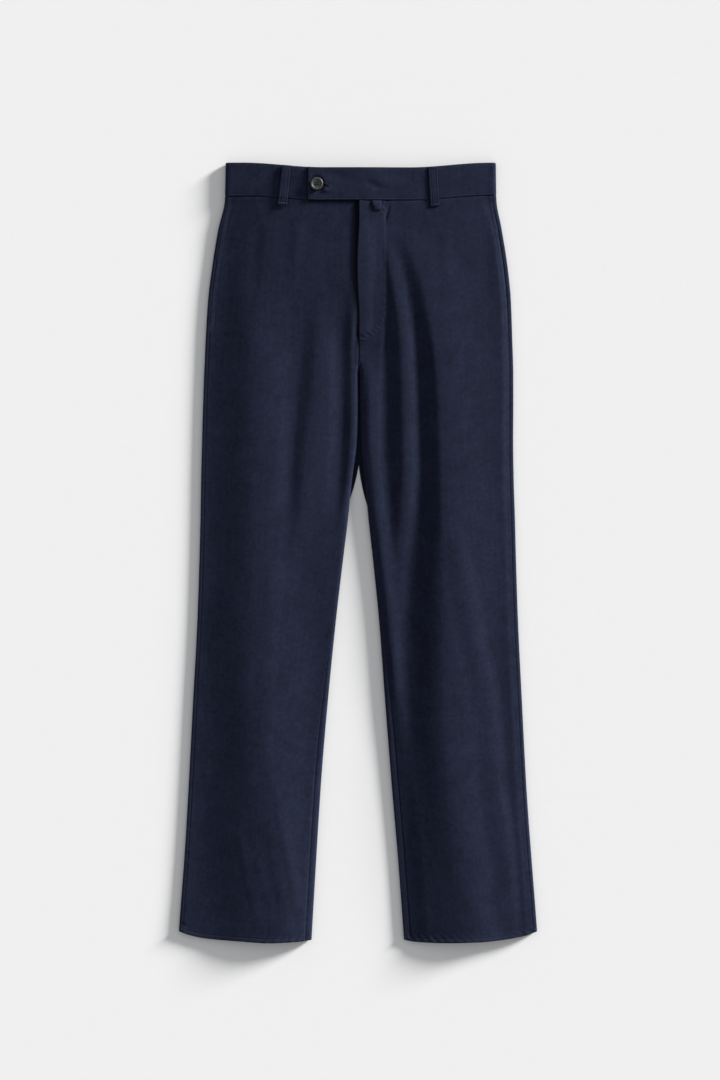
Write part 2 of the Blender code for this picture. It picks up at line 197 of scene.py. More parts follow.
RIGHT_FOLDS = (
    # the leg's broad crown, from the hip to the hem
    (Crest(120, -144, 0, 70, 56), Crest(290, -141, 5.5, 78, 72), Crest(460, -139, 6.0, 80, 78),
     Crest(660, -144, 7.4, 92, 78), Crest(850, -129, 9, 88, 98), Crest(960, -117, 9.5, 68, 112),
     Crest(1092, -108, 7.4, 54, 120)),
    # ridge from the fly's end down the thigh
    (Crest(170, -52, 0, 30, 22), Crest(300, -60, 3.4, 34, 24), Crest(430, -72, 3.4, 44, 26),
     Crest(570, -84, 0, 40, 26)),
    # valley between the crown and that ridge
    (Crest(200, -92, 0, 20, 20), Crest(330, -94, -1.2, 21, 21), Crest(440, -96, -1.3, 21, 21),
     Crest(540, -99, 0, 20, 20)),
    # valley beside the inner fold
    (Crest(190, -22, 0, 14, 20), Crest(330, -22, -2.4, 16, 22), Crest(430, -24, -2.1, 16, 22),
     Crest(510, -34, 0, 14, 20)),
    # rim along the inner fold
    (Crest(300, -8, 0, 8, 14), Crest(370, -6, 1.5, 8, 16), Crest(470, -14, 1.0, 8, 16),
     Crest(560, -28, 0, 8, 16)),
)

LEFT_FOLDS = (
    # the leg's crown, steep on its inner flank
    (Crest(88, 63, 0, 22, 50), Crest(192, 95.5, 4.5, 28, 94), Crest(290, 111, 7.6, 27, 96),
     Crest(460, 118, 8.3, 28, 94), Crest(612, 121, 9.4, 47, 90), Crest(750, 122, 9.8, 55, 88),
     Crest(900, 134, 10, 68, 86), Crest(1092, 158, 7.4, 86, 72)),
    # ridge beside the fly and down the thigh
    (Crest(104, 40, 0, 10, 15), Crest(180, 51.5, 3.0, 13, 24), Crest(248, 60, 4.3, 16.5, 29),
     Crest(416, 65.5, 4.7, 18, 31), Crest(560, 57, 0, 18, 18)),
    # deep valley between that ridge and the crown
    (Crest(100, 56, 0, 12, 12), Crest(192, 79, -0.9, 15, 17), Crest(290, 89, -1.8, 18, 20),
     Crest(416, 93, -1.6, 18, 21), Crest(600, 76, -2.4, 22, 30), Crest(780, 64, -1.5, 22, 40),
     Crest(900, 62, 0, 20, 30)),
    # valley beside the inner fold
    (Crest(180, 41, 0, 10, 10), Crest(250, 41, -1.5, 11, 11), Crest(330, 41, -2.2, 16, 15),
     Crest(400, 43, -2.2, 18, 15), Crest(470, 44.5, -1.1, 17, 15), Crest(540, 47, 0, 14, 14)),
    # rim along the inner fold
    (Crest(270, 9, 0, 8, 24), Crest(330, 11, 2.2, 8, 26), Crest(430, 15, 2.2, 8, 26),
     Crest(528, 28, 1.9, 10, 22), Crest(584, 35, 1.8, 11, 22), Crest(640, 41, 1.8, 12, 22),
     Crest(752, 56, 1.6, 14, 20), Crest(836, 63, 0.9, 14, 18), Crest(900, 67, 0, 14, 18)),
)


class Fall(NamedTuple):
    """How deep, and from how far in, a front sinks towards one of its folded edges."""
    drop: float
    depth: float
    reach: float


SIDE_FALLS = {
    "right": (Fall(50, 1.0, 40), Fall(150, 3.2, 62), Fall(500, 3.7, 70), Fall(1000, 3.6, 84),
              Fall(LENGTH, 2.8, 84)),
    "left": (Fall(50, 1.5, 18), Fall(110, 2.6, 11), Fall(260, 3.0, 11), Fall(420, 2.4, 12),
             Fall(650, 1.8, 12), Fall(LENGTH, 1.4, 12)),
}

INNER_FALLS = {
    "right": (Fall(700, 0, 30), Fall(860, -0.5, 22), Fall(LENGTH, -0.4, 22)),
    "left": (Fall(500, 0, 12), Fall(600, 1.0, 13), Fall(750, 1.6, 18), Fall(850, 3.0, 30),
             Fall(990, 4.0, 32), Fall(LENGTH, 3.6, 34)),
}

# Small creases on top of those folds.
RIGHT_CREASES = (
    # slanting ridges above the hem, and the hollow between them
    (Crest(850, -122, 0, 14, 12), Crest(900, -111, 0.5, 14, 12), Crest(1010, -90, 0.8, 15, 12),
     Crest(1075, -78, 0, 12, 10)),
    (Crest(930, -168, 0, 12, 12), Crest(975, -160, 0.5, 15, 12), Crest(1050, -143, 0.4, 14, 12),
     Crest(1080, -138, 0, 12, 12)),
    (Crest(940, -136, 0, 12, 12), Crest(975, -130, -0.4, 13, 13), Crest(1025, -117, -0.4, 13, 13),
     Crest(1060, -110, 0, 12, 12)),
    # faint long ridge down the shin
    (Crest(520, -118, 0, 16, 20), Crest(640, -122, 0.6, 16, 24), Crest(800, -128, 0.5, 16, 24),
     Crest(900, -120, 0, 16, 20)),
    # hollow beside the fly's edge, deep under the tab
    (Crest(46, 0, -4.6, 8, 8), Crest(80, 0, -3.8, 8, 6.5), Crest(130, 0, -2.8, 8, 4.4),
     Crest(180, 0, -2.6, 12, 3.6), Crest(208, 0, -3.2, 13, 3.2), Crest(236, 0, -2.0, 14, 3.0),
     Crest(258, 0, 0, 8, 3.0)),
    (Crest(60, 0, -0.8, 8, 20), Crest(100, 0, -1.5, 8, 24), Crest(150, 0, -1.4, 8, 22),
     Crest(185, 0, -0.4, 8, 18), Crest(215, 0, 0, 8, 16)),
    # the cloth rolls over beside it
    (Crest(128, 0, 0, 8, 12), Crest(160, -1, 0.9, 8, 15), Crest(185, -3, 1.4, 8, 15.5),
     Crest(205, -5, 1.4, 7, 14.5), Crest(222, -7, 1.5, 6, 13.5), Crest(240, -8, 1.5, 5.5, 12.5),
     Crest(262, -8.5, 0.8, 5.5, 12), Crest(300, -9, 0.5, 6, 12), Crest(330, -9, 0, 6, 10)),
    # drags from the waistband down the hip
    (Crest(60, -84, 0, 12, 12), Crest(100, -86, 0.7, 14, 12), Crest(190, -92, 0, 14, 12)),
    (Crest(70, -140, 0, 12, 14), Crest(110, -142, -0.7, 14, 14), Crest(220, -150, 0, 14, 14)),
)

LEFT_CREASES = (
    # long bright ridge that slants to the outer corner of the hem
    (Crest(500, 138, 0, 24, 18), Crest(560, 147, 1.2, 26, 20), Crest(668, 165, 1.7, 26, 20),
     Crest(743, 182, 1.8, 27, 19), Crest(871, 194, 2.0, 28, 18), Crest(963, 208, 2.4, 30, 17),
     Crest(1065, 216, 1.5, 26, 15), Crest(1092, 219, 0.8, 22, 15)),
    # short crease from the waist seam into the fly's stitching
    (Crest(48, 43.5, 0, 3, 3), Crest(58, 42, -0.9, 3.4, 3.4), Crest(70, 39.6, -1.1, 3.6, 3.6),
     Crest(79, 38.4, 0, 3, 3)),
    # drags at the fly's foot
    (Crest(212, 47, 0, 6, 7), Crest(232, 44, -1.0, 7, 8), Crest(262, 36, -0.5, 8, 8),
     Crest(285, 30, 0, 8, 8)),
    (Crest(70, 120, 0, 12, 14), Crest(120, 122, 0.6, 14, 16), Crest(230, 132, 0, 16, 16)),
)


# ------------------------------------------------------------------ curves and steps
def smooth_line(positions, values):
    """A monotone cubic curve through the values, level beyond its ends."""
    slopes = [(values[i + 1] - values[i]) / (positions[i + 1] - positions[i])
              for i in range(len(values) - 1)]
    tangents = [slopes[0]]
    for before, after in zip(slopes, slopes[1:]):
        same_way = before * after > 0
        tangents.append(2 * before * after / (before + after) if same_way else 0.0)
    tangents.append(slopes[-1])

    def value(position):
        if position <= positions[0]:
            return values[0]
        if position >= positions[-1]:
            return values[-1]
        i = bisect_right(positions, position) - 1
        span = positions[i + 1] - positions[i]
        t = (position - positions[i]) / span
        start = (1 + 2 * t) * (1 - t) ** 2 * values[i]
        end = t * t * (3 - 2 * t) * values[i + 1]
        bends = t * (1 - t) * ((1 - t) * tangents[i] - t * tangents[i + 1]) * span
        return start + end + bends

    return value


def column_lines(rows):
    """One smooth curve for each named column of a table, along its drop."""
    drops = [row.drop for row in rows]
    return {name: smooth_line(drops, [getattr(row, name) for row in rows])
            for name in rows[0]._fields[1:]}


def ease(t):
    """0 to 1 with level ends."""
    t = min(max(t, 0.0), 1.0)
    return t * t * (3 - 2 * t)


def bump(distance, reach):
    """1 at no distance, falling smoothly to 0 at the reach."""
    if abs(distance) >= reach:
        return 0.0
    return 0.5 * (1 + math.cos(math.pi * distance / reach))


def steps(start, stop, count):
    """count + 1 even values from start to stop."""
    return [start + (stop - start) * i / count for i in range(count + 1)]


def graded(parts):
    """Places from a list of (start, stop, count), each run ending where the next starts."""
    places = []
    for start, stop, count in parts:
        places += steps(start, stop, count)[:-1]
    return places + [parts[-1][1]]


def running_lengths(points):
    """How far along a line of points each of them lies."""
    lengths = [0.0]
    for before, after in zip(points, points[1:]):
        lengths.append(lengths[-1] + (after - before).length)
    return lengths


# ----------------------------------------------------------------- the cloth's surface
EDGES = column_lines(OUTLINE)
SIGNS = {"right": -1, "left": 1}
HEM_LINES = {leg: smooth_line([rise.share for rise in rises], [rise.height for rise in rises])
             for leg, rises in HEM_RISES.items()}
FOLD_LINES = {"right": [column_lines(fold) for fold in RIGHT_FOLDS],
              "left": [column_lines(fold) for fold in LEFT_FOLDS]}
FALL_LINES = {leg: (column_lines(SIDE_FALLS[leg]), column_lines(INNER_FALLS[leg]))
              for leg in SIGNS}
CREASE_LINES = {"right": [column_lines(fold) for fold in RIGHT_CREASES],
                "left": [column_lines(fold) for fold in LEFT_CREASES]}


def swell(x, drop):
    """The gentle fullness from side to side of the waist and the hips."""
    return SWELL * max(1 - abs(x / 182) ** 2.6, 0) * (1 - ease((drop - 120) / 160))


def drape(x, drop):
    """Slow unevenness of cloth that lies loose."""
    first = math.sin(x / 9.5 + 1.7 * math.sin(drop / 83)) * math.sin(drop / 37 + x / 71)
    second = math.sin(x / 17 - drop / 140 + 2) * math.sin(drop / 61 + 1.3 * math.sin(x / 53))
    return 0.10 * first + 0.22 * second


def waist_shift(x):
    """How far the waist sinks below its top corners."""
    return WAIST_DIP * (1 - ease((abs(x - DIP_MIDDLE) - DIP_LEVEL) / DIP_SLOPE))


def seam_dip(x, drop):
    """How much lower the waist seam and how much higher the waist lies than even depth."""
    lowest = 1.3 + 1.3 * (1 - ease((x + 180) / 80))
    return lowest * bump(drop - BAND_HEIGHT - 2, 50) - 0.6 * (1 - ease(drop / BAND_HEIGHT))


def fly_lift(x, drop):
    """Height of the left front's raised strip, which slopes down from the fly's edge."""
    across = (x - CENTRE) / FLY_WIDTH
    edge = FLY_LIFT - 0.3 * ease((drop - 60) / 100) - 2.0 * ease((drop - 172) / 62)
    strip = edge + (0.35 - edge) * min(max(across, 0), 1)
    shoulder = 1 - ease((across - 1) * FLY_WIDTH / FLY_SHOULDER)
    return strip * shoulder * (1 - ease((drop - FLY_END) / 20))


def fly_bow(drop):
    """How far the fly's edge lies over the right front at one drop."""
    return FLY_BOW * bump(drop - FLY_BOW_DROP, FLY_BOW_HALF)


def fly_stitch_distance(x, drop):
    """How far a place on the left front lies from the fly's stitching."""
    turn_x, turn_drop = FLY_TURN
    if drop < turn_drop:
        along = drop / turn_drop
        return x - FLY_STITCH[0] - (FLY_STITCH[1] - FLY_STITCH[0]) * along
    wide = FLY_STITCH[1] - turn_x
    reach = math.hypot((x - turn_x) / wide, (drop - turn_drop) / FLY_TURN_DROP)
    return (reach - 1) * wide


def folds_height(lines, sign, out):
    """The height that a leg's folds add at one place of a section."""
    total = 0.0
    for x, height, inward, outward in lines:
        away = out - sign * x
        total += height * bump(away, outward if away > 0 else inward)
    return total


class Section:
    """One leg's shape at one drop. A point of it lies at x = sign * out."""

    def __init__(self, leg, drop):
        self.leg = leg
        self.sign = SIGNS[leg]
        self.drop = drop
        self.side = self.sign * EDGES[leg + "_side"](drop)
        self.inner = self.sign * EDGES[leg + "_inner"](drop)
        self.flat_start = self.inner + FOLD
        self.flat_end = self.side - FOLD
        self.across = self.flat_end - self.flat_start + 2 * ARC
        above = min(max((CROTCH - drop) / CROTCH_TURN, 0), 1)
        self.depth = LOFT / 2 * (1 - math.sqrt(1 - (1 - above) ** 2))
        self.above_crotch = ease((CROTCH - drop) / 40)
        self.from_waist = ease((drop - BAND_HEIGHT) / 60)
        self.inseam = INSEAM_ON_FRONT * ease((drop - 420) / 430)
        self.half_seam = SEAM / 2 + 0.2 * (1 - ease(abs(drop - CROTCH) / 15))
        joined = ease((drop - BAND_HEIGHT) / 12)
        self.falls = [(line["depth"](drop) * joined, line["reach"](drop))
                      for line in FALL_LINES[leg]]
        self.folds = self.lines(FOLD_LINES)
        self.creases = self.lines(CREASE_LINES)

    def lines(self, tables):
        return [tuple(line[name](self.drop) for name in ("x", "height", "inward", "outward"))
                for line in tables[self.leg]]

    def relief(self, out):
        """Height that folds and creases add to the front's face."""
        from_side = ease((self.side - out) / RELIEF_REACH)
        from_inner = max(ease((out - self.inner) / RELIEF_REACH), self.above_crotch)
        folds = folds_height(self.folds, self.sign, out) * self.from_waist
        creases = folds_height(self.creases, self.sign, out)
        x = self.sign * out
        loose = swell(x, self.drop) + drape(x, self.drop)
        return (folds + creases + loose) * from_side * from_inner - self.sunk(out)

    def sunk(self, out):
        """How far the front's face sinks towards its folded edges, and on round them."""
        total = 0.0
        for (depth, reach), inside in zip(self.falls,
                                          (self.flat_end - out, out - self.flat_start)):
            if inside < 0:
                total += depth * math.sqrt(max(1 - (inside / FOLD) ** 2, 0))
            else:
                total += depth * (1 - ease(inside / reach))
        return total

    def side_ring(self, along, inset=0.0, half=LOFT / 2):
        """A point round the side fold: along < 0 is on top, > 0 on the floor."""
        angle = math.pi / 2 * max(1 - abs(along) / ARC, 0)
        out = self.flat_end + (FOLD - inset) * math.sin(angle) - max(abs(along) - ARC, 0)
        height = half + (half - inset) * math.cos(angle) * (-1 if along > 0 else 1)
        if along < 0:
            height += self.relief(out)
        return out, height

    def inner_ring(self, along, inset=0.0):
        """A point round the inner fold, which opens above the crotch."""
        part = min(abs(along) / ARC, 1)
        flat = max(abs(along) - ARC, 0)
        if self.drop < CROTCH:
            out = self.inner + FOLD * part + flat
            drawn_in = self.depth * 0.5 * (1 + math.cos(math.pi * part))
        else:
            angle = math.pi / 2 * (1 - part)
            out = self.inner + FOLD - (FOLD - inset) * math.sin(angle) + flat
            drawn_in = self.depth * (1 - math.cos(angle))
        if along > 0:
            return out, max(drawn_in, inset)
        return out, LOFT - max(drawn_in, inset) + self.relief(out)

    def top(self, across):
        """A point of the top face, by the length of cloth from the inner fold's edge."""
        if across < ARC:
            return self.inner_ring(-across)
        if across > self.across - ARC:
            return self.side_ring(across - self.across)
        out = self.flat_start + across - ARC
        return out, LOFT + self.relief(out)

    def place(self, out, height):
        """The place of a point, in metres."""
        x = self.sign * out
        sink = waist_shift(x) * (1 - ease((self.drop - BAND_HEIGHT) / 90))
        sink += seam_dip(x, self.drop)
        rise = 0.0
        if self.drop > LENGTH - HEM_SLANT_REACH:
            down = self.drop - LENGTH + HEM_SLANT_REACH
            rise = self.hem_shift(out) * ease(down / HEM_SLANT_REACH)
        return Vector((x, LENGTH / 2 - self.drop - sink + rise, height)) * MM

    def hem_shift(self, out):
        """How far the hem rises above its longest point."""
        inner = self.sign * EDGES[self.leg + "_inner"](LENGTH)
        side = self.sign * EDGES[self.leg + "_side"](LENGTH)
        return HEM_LINES[self.leg]((out - inner) / (side - inner))

    def front_ends(self):
        """The lengths across at which the front starts and ends."""
        start = self.inseam + (self.half_seam if self.drop >= CROTCH else 0.0)
        return start, self.across - ARC - SEAM / 2 - pocket_gape(self.leg, self.drop)


# ------------------------------------------------------------- details of the sewing
def seam_roll(distance, strength=1.0):
    """How far cloth dips as it turns into a seam this far away."""
    return 0.5 * strength * bump(distance, 1.7)


def inseam_strength(drop):
    """The inseam shows plainly at the hem and fades out up the thigh."""
    return 0.1 + 0.9 * ease((drop - 560) / 400) if drop > CROTCH else 1.0


PUCKER_SEEDS = {"right": 2.3, "left": 1.0}


def seam_pucker(away, drop, seed):
    """Small puckers where a seam is drawn in, stronger towards the hem."""
    wave = math.sin(drop * 0.52 + 2.2 * math.sin(drop * 0.11 + seed))
    uneven = 0.45 + 0.55 * math.sin(drop * 0.043 + 2 * seed)
    return 0.5 * wave * uneven * bump(away, 8) * ease((drop - 620) / 330)


def fly_detail(x, drop):
    """The step and the puckers along the stitching that holds the fly's facing."""
    away = fly_stitch_distance(x, drop)
    step = 0.40 * (1 - ease((away + 0.9) / 1.8)) * (1 - ease((away + 14) / -10))
    strength = 0.28 + 0.25 * bump(drop - 215, 60)
    puckers = strength * bump(away + 2.6, 5) * math.sin((drop - 0.6 * x) * 0.8
                                                        + 1.6 * math.sin(drop * 0.19))
    ridge = x - 14.5 + 1.5 * math.sin(drop / 31)
    streak = 0.6 * bump(ridge, 10 if ridge > 0 else 13) * ease((drop - 64) / 40)
    foot = 0.5 * bump(drop - FLY_END - 3.5, 3) * bump(x - 7, 8)
    return step - 0.15 * bump(away, 1.5) + puckers + streak * (away < -4) + foot


def pocket_detail(edge, drop):
    """The rolled edge of a pocket's mouth and its sunk stitching."""
    along = math.sin(math.pi * (drop - POCKET_TOP) / (POCKET_END - POCKET_TOP)) ** 0.4
    uneven = 1 + 0.3 * math.sin(drop / 11) + 0.2 * math.sin(drop / 4.3)
    roll = 0.16 * bump(edge - 2.4, 2.4) - 0.2 * bump(edge, 0.9)
    return along * roll * uneven - 0.14 * uneven * bump(edge - POCKET_STITCH, 1.5)


def front_detail(section, across, start, end):
    """Seams, stitched grooves and small drags of a front, added to its height."""
    drop = section.drop
    height = -seam_roll(drop - PANEL_TOP) - 0.3 * bump(drop - PANEL_TOP, 5)
    x = section.sign * section.top(across)[0]
    if section.leg == "left" and drop < FLY_END + 12:
        height += fly_detail(x, drop)
        if drop < FLY_END:
            height -= 0.7 * bump(across - start, 1.3)
        else:
            height -= seam_roll(across - start)
    elif section.leg == "left" or drop > FLY_END - 8:
        height -= seam_roll(across - start, inseam_strength(drop))
    edge = end - across
    seed = PUCKER_SEEDS[section.leg]
    height += seam_pucker(edge, drop, seed) + 0.6 * seam_pucker(across - start, drop, seed + 2)
    if POCKET_TOP < drop < POCKET_END:
        height += pocket_detail(edge, drop)
    else:
        height -= seam_roll(edge, 0.6)
    return height + hem_detail(section, across)


def hem_detail(section, across):
    """The turned-up hem: a thicker strip, its stitched groove and its roping."""
    up = LENGTH - section.drop
    if up > HEM_RELIEF:
        return 0.0
    strip = 0.35 * (1 - ease((up - HEM_STITCH + 1.5) / 1.5)) - 0.3 * bump(up - HEM_STITCH, 1.6)
    roping = math.sin((across + 0.8 * up) / 1.75 + 1.1 * math.sin(across / 23))
    uneven = 0.6 + 0.4 * math.sin(across / 31 + 0.7)
    return strip + 0.34 * uneven * roping * (1 - ease((up - 4) / 10)) - 0.5 * bump(up, 0.9)


# ----------------------------------------------------------------------- making pieces
PANEL_DROPS = graded((
    (PANEL_TOP, PANEL_TOP + 2.4, 5), (PANEL_TOP + 2.4, 64, 15), (64, 228, 46),
    (228, FLY_END + 8, 14), (FLY_END + 8, CROTCH - CROTCH_TURN, 9),
    (CROTCH - CROTCH_TURN, CROTCH + 6, 12), (CROTCH + 6, LENGTH - HEM_RELIEF, 212),
    (LENGTH - HEM_RELIEF, LENGTH, 20)))


def shell(name, rows, wall, finish, nodes=(), wear=None, even=True):
    """Cloth through rows of points on its outer face, with its own weave map.

    A row runs clockwise seen from the hems. The values of wear and painted shade are
    one for each point: above 0 the dye is worn paler, below 0 the colour is painted
    shade. even keeps the wall's thickness where the cloth bends sharply.
    """
    across = len(rows[0]) - 1
    down = len(rows) - 1
    mesh = bmesh.new()
    bmesh.ops.create_grid(mesh, x_segments=across, y_segments=down, size=1)
    worn_and_shaded = mesh.verts.layers.float.new("wear")
    grid = {}
    for vertex in mesh.verts:
        column = round((vertex.co.x + 1) / 2 * across)
        row = round((1 - vertex.co.y) / 2 * down)
        vertex.co = rows[row][column]
        if wear:
            vertex[worn_and_shaded] = wear[row][column]
        grid[vertex] = (row, column)
    weave = mesh.loops.layers.uv.new("weave")
    widths = running_lengths(rows[down // 2])
    drops = running_lengths([row[across // 2] for row in rows])
    for face in mesh.faces:
        for loop in face.loops:
            row, column = grid[loop.vert]
            loop[weave].uv = (widths[column], -drops[row])
    piece = add_piece(name, mesh, finish, nodes)
    thicken(piece, wall, -1, even)
    return piece


def thicken(piece, wall, offset, even):
    """Gives a piece its wall: inwards where the offset is -1, outwards where it is 1."""
    modifier = piece.modifiers.new("wall", "SOLIDIFY")
    modifier.thickness = wall * MM
    modifier.offset = offset
    modifier.use_even_offset = even
    settle(piece)


def settle(piece, crease_angle=50):
    """Replaces a piece's mesh by its evaluated one, with sharp edges kept sharp."""
    bpy.context.view_layer.update()
    graph = bpy.context.evaluated_depsgraph_get()
    final = bpy.data.meshes.new_from_object(piece.evaluated_get(graph))
    piece.modifiers.clear()
    piece.data = final
    final.shade_smooth()
    final.set_sharp_from_angle(angle=math.radians(crease_angle))


def put(name, data):
    """A new object in the scene."""
    item = bpy.data.objects.new(name, data)
    bpy.context.scene.collection.objects.link(item)
    return item


def put_mesh(name, mesh, finish=None):
    """A new object from a bmesh, which is freed."""
    data = bpy.data.meshes.new(name)
    mesh.to_mesh(data)
    mesh.free()
    if finish:
        data.materials.append(finish)
    return put(name, data)


def add_piece(name, mesh, finish, nodes=()):
    """A visible piece of the garment, riding on the frame."""
    piece = put_mesh(name, mesh, finish)
    piece.data.shade_smooth()
    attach(piece, "root")
    if nodes:
        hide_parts(*nodes)
    return piece


def turned(leg, rows):
    """Rows in the order that makes a leg's faces point out."""
    return [row[::-1] for row in rows] if leg == "right" else rows


# ---------------------------------------------------------------------------- panels
def pocket_gape(leg, drop):
    """How far the front's edge stands back from the side seam at the pocket's mouth."""
    if not POCKET_TOP < drop < POCKET_END:
        return 0.0
    widest = 0.3 if leg == "right" else 0.8
    along = (drop - POCKET_TOP) / (POCKET_END - POCKET_TOP)
    return widest * math.sin(math.pi * along) ** 0.7


def lapped(section, across, out, height):
    """The right front's edge, under the left one: wide at the fly, narrow below it."""
    below = ease((section.drop - FLY_END + 12) / 8)
    lap = FLY_UNDERLAP + (SEAM_UNDERLAP - FLY_UNDERLAP) * below
    lap *= min((CROTCH - section.drop) / 10, 1)
    if across < ARC:
        out -= lap * (1 - across / ARC)
    return out, height - 1.3 * below * (1 - ease((out - section.inner) / 1.6))


def front_columns(start, end):
    """Lengths of cloth across a front: close by the fly and at both edges."""
    return graded(((start, start + 1.6, 3), (start + 1.6, start + 46, 36),
                   (start + 46, end - 9, 58), (end - 9, end - 1.6, 7), (end - 1.6, end, 3)))


def build_front(leg, finish):
    rows, wear = [], []
    for drop in PANEL_DROPS:
        section = Section(leg, drop)
        start, end = section.front_ends()
        row, worn_and_shaded = [], []
        for across in front_columns(start, end):
            out, height = section.top(across)
            height += front_detail(section, across, start, end)
            if leg == "left":
                height += fly_lift(out, drop)
                out -= fly_bow(drop) * (1 - ease((out - CENTRE) / FLY_BOW_REACH))
            elif drop < CROTCH:
                out, height = lapped(section, across, out, height)
            row.append(section.place(out, height))
            worn_and_shaded.append(front_wear_and_shade(section, out, across, start, end))
        rows.append(row)
        wear.append(worn_and_shaded)
    piece = shell(f"{leg}_front_cloth", turned(leg, rows), TWILL, finish, [f"{leg}_front"],
                  turned(leg, wear))


def front_wear_and_shade(section, out, across, start, end):
    """Where the dye has worn paler (above 0), on folded edges and stitched ridges, and painted
    shade (below 0), where shadows fall close under and beside another layer, in the
    inseam's groove and along the hem's bottom edge."""
    drop = section.drop
    up = LENGTH - drop
    # the hem's worn fold and stitched ridge are paler; its bottom edge is painted shade
    value = 0.35 * bump(up - 2.6, 2.2) - 0.6 * bump(up, 1.4) + 0.25 * bump(up - HEM_STITCH - 2, 2)
    value -= loop_shade(section.leg, section.sign * out, drop)
    if POCKET_TOP < drop < POCKET_END:
        value += 0.5 * bump(end - across - 1.2, 2.8)
    else:
        value += 0.1 * bump(end - across - 1.5, 2)
    if section.leg == "right" and drop < FLY_END:
        value -= under_fly_shade(out, drop)
    elif section.leg == "left" and drop > CROTCH:
        # painted shade in the inseam's groove
        value -= 0.4 * inseam_strength(drop) * bump(across - start, 1.4)
    elif section.leg == "left":
        value += fly_wear(out, drop, across - start) - keeper_shade(out, drop)
    return value


def under_fly_shade(out, drop):
    """Painted shade on the right front, close under the fly's edge and below the tab, where their
    shadows fall.
    """
    reach = 6.5 - 4.6 * ease((drop - 180) / 50)
    deepest = 0.85 + 0.35 * ease((drop - 180) / 25)
    shade = deepest * (1 - ease((out - 1 - fly_bow(drop)) / reach))
    return shade + 0.7 * bump(drop - PANEL_TOP, 3) * (out < -TAB_END)


def fly_wear(out, drop, from_edge):
    """Paler dye along the fly's strip, its edge and its stitched ridge."""
    if drop >= FLY_END + 8:
        return 0.0
    value = 0.25 * bump(fly_stitch_distance(out, drop) + 1.8, 1.6)
    if drop < FLY_END:
        value += 0.5 * bump(from_edge - 0.8, 1.6)
    return value + 0.3 * bump(out - 14, 17) * ease((drop - 70) / 30) * ease((FLY_END - drop) / 10)


def keeper_shade(x, drop):
    """Painted shade beside the prong keeper and at its foot, where its shadow falls."""
    if drop >= KEEPER_FOOT + 3:
        return 0.0
    middle, width = keeper_line(min(drop, KEEPER_FOOT))
    gap = middle - width / 2 - x
    return (gap > -2) * 0.9 * bump(max(gap, 0), 3.0) * bump(max(drop - KEEPER_FOOT, 0), 3)


def loop_line(leg, drop):
    """The middle and the width of a belt loop."""
    along = (drop - LOOP_TOP) / (LOOP_END - LOOP_TOP)
    return [ends[leg][0] + (ends[leg][1] - ends[leg][0]) * along
            for ends in (LOOP_CENTRES, LOOP_WIDTHS)]


def loop_shade(leg, x, drop):
    """Painted shade close beside a belt loop and at its foot, where its shadow falls."""
    middle, width = loop_line(leg, min(drop, LOOP_END))
    reach = 3.6 if x < middle else 2.2 if leg == "right" else 0.0
    beside = bump(max(abs(x - middle) - width / 2, 0), reach)
    return 0.9 * beside * bump(max(drop - LOOP_END, 0), 2.2)


def build_back(leg, finish):
    seed = PUCKER_SEEDS[leg]
    top = ARC - SEAM / 2
    roll = 0.3 if leg == "left" else 1.0
    rows, wear = [], []
    for drop in PANEL_DROPS:
        section = Section(leg, drop)
        row, worn_and_shaded = [], []
        for along in graded(((-top, -top + 1.8, 3), (-top + 1.8, ARC, 12))):
            out, height = section.side_ring(along)
            height -= seam_roll(along + top, 0.3) + back_top_detail(section, along)
            height += seam_pucker(along + top, drop, seed)
            row.append(section.place(out, height))
            worn_and_shaded.append(0.1 * bump(along + top - 1.5, 2) + 0.25 * bump(along + 1, 4))
        end = section.half_seam - section.inseam
        for out in steps(section.flat_end, section.inner_ring(ARC)[0], 24)[1:-1]:
            row.append(section.place(out, 0.0))
            worn_and_shaded.append(0.0)
        for along in graded(((ARC, end + 1.8, 12), (end + 1.8, end, 3))):
            out, height = section.inner_ring(along)
            if along < 0:
                height -= seam_roll(along - end, inseam_strength(drop)) * roll
                height += hem_detail(section, -along)
                height += 0.6 * seam_pucker(end - along, drop, seed + 2) * ease(-along / 3)
            row.append(section.place(out, max(height, 0.0)))
            worn_and_shaded.append(0.1 * bump(along - end - 1.5, 2))
        rows.append(row)
        wear.append(worn_and_shaded)
    piece = shell(f"{leg}_back_cloth", turned(leg, rows), TWILL, finish, [f"{leg}_back"],
                  turned(leg, wear))


def back_top_detail(section, along):
    """The hem's relief where the back comes round to the top face."""
    if along > -1:
        return 0.0
    return -hem_detail(section, section.across + along) * ease(-along / 4)


def build_pocket_facing(leg, finish):
    """Strip of cloth under the pocket's mouth, round to the side fold."""
    under = TWILL + 0.5
    reach = ARC + POCKET_FACING_DEPTH
    rows = []
    for drop in steps(PANEL_TOP + 1, POCKET_END + 3, 48):
        section = Section(leg, drop)
        rows.append([section.place(*section.side_ring(along, under))
                     for along in graded(((-reach, -ARC, 8), (-ARC, -0.5 * ARC, 5)))])
    piece = shell(f"pocket_facing_{leg}_cloth", turned(leg, rows), TWILL, finish,
                  [f"pocket_facing_{leg}"])


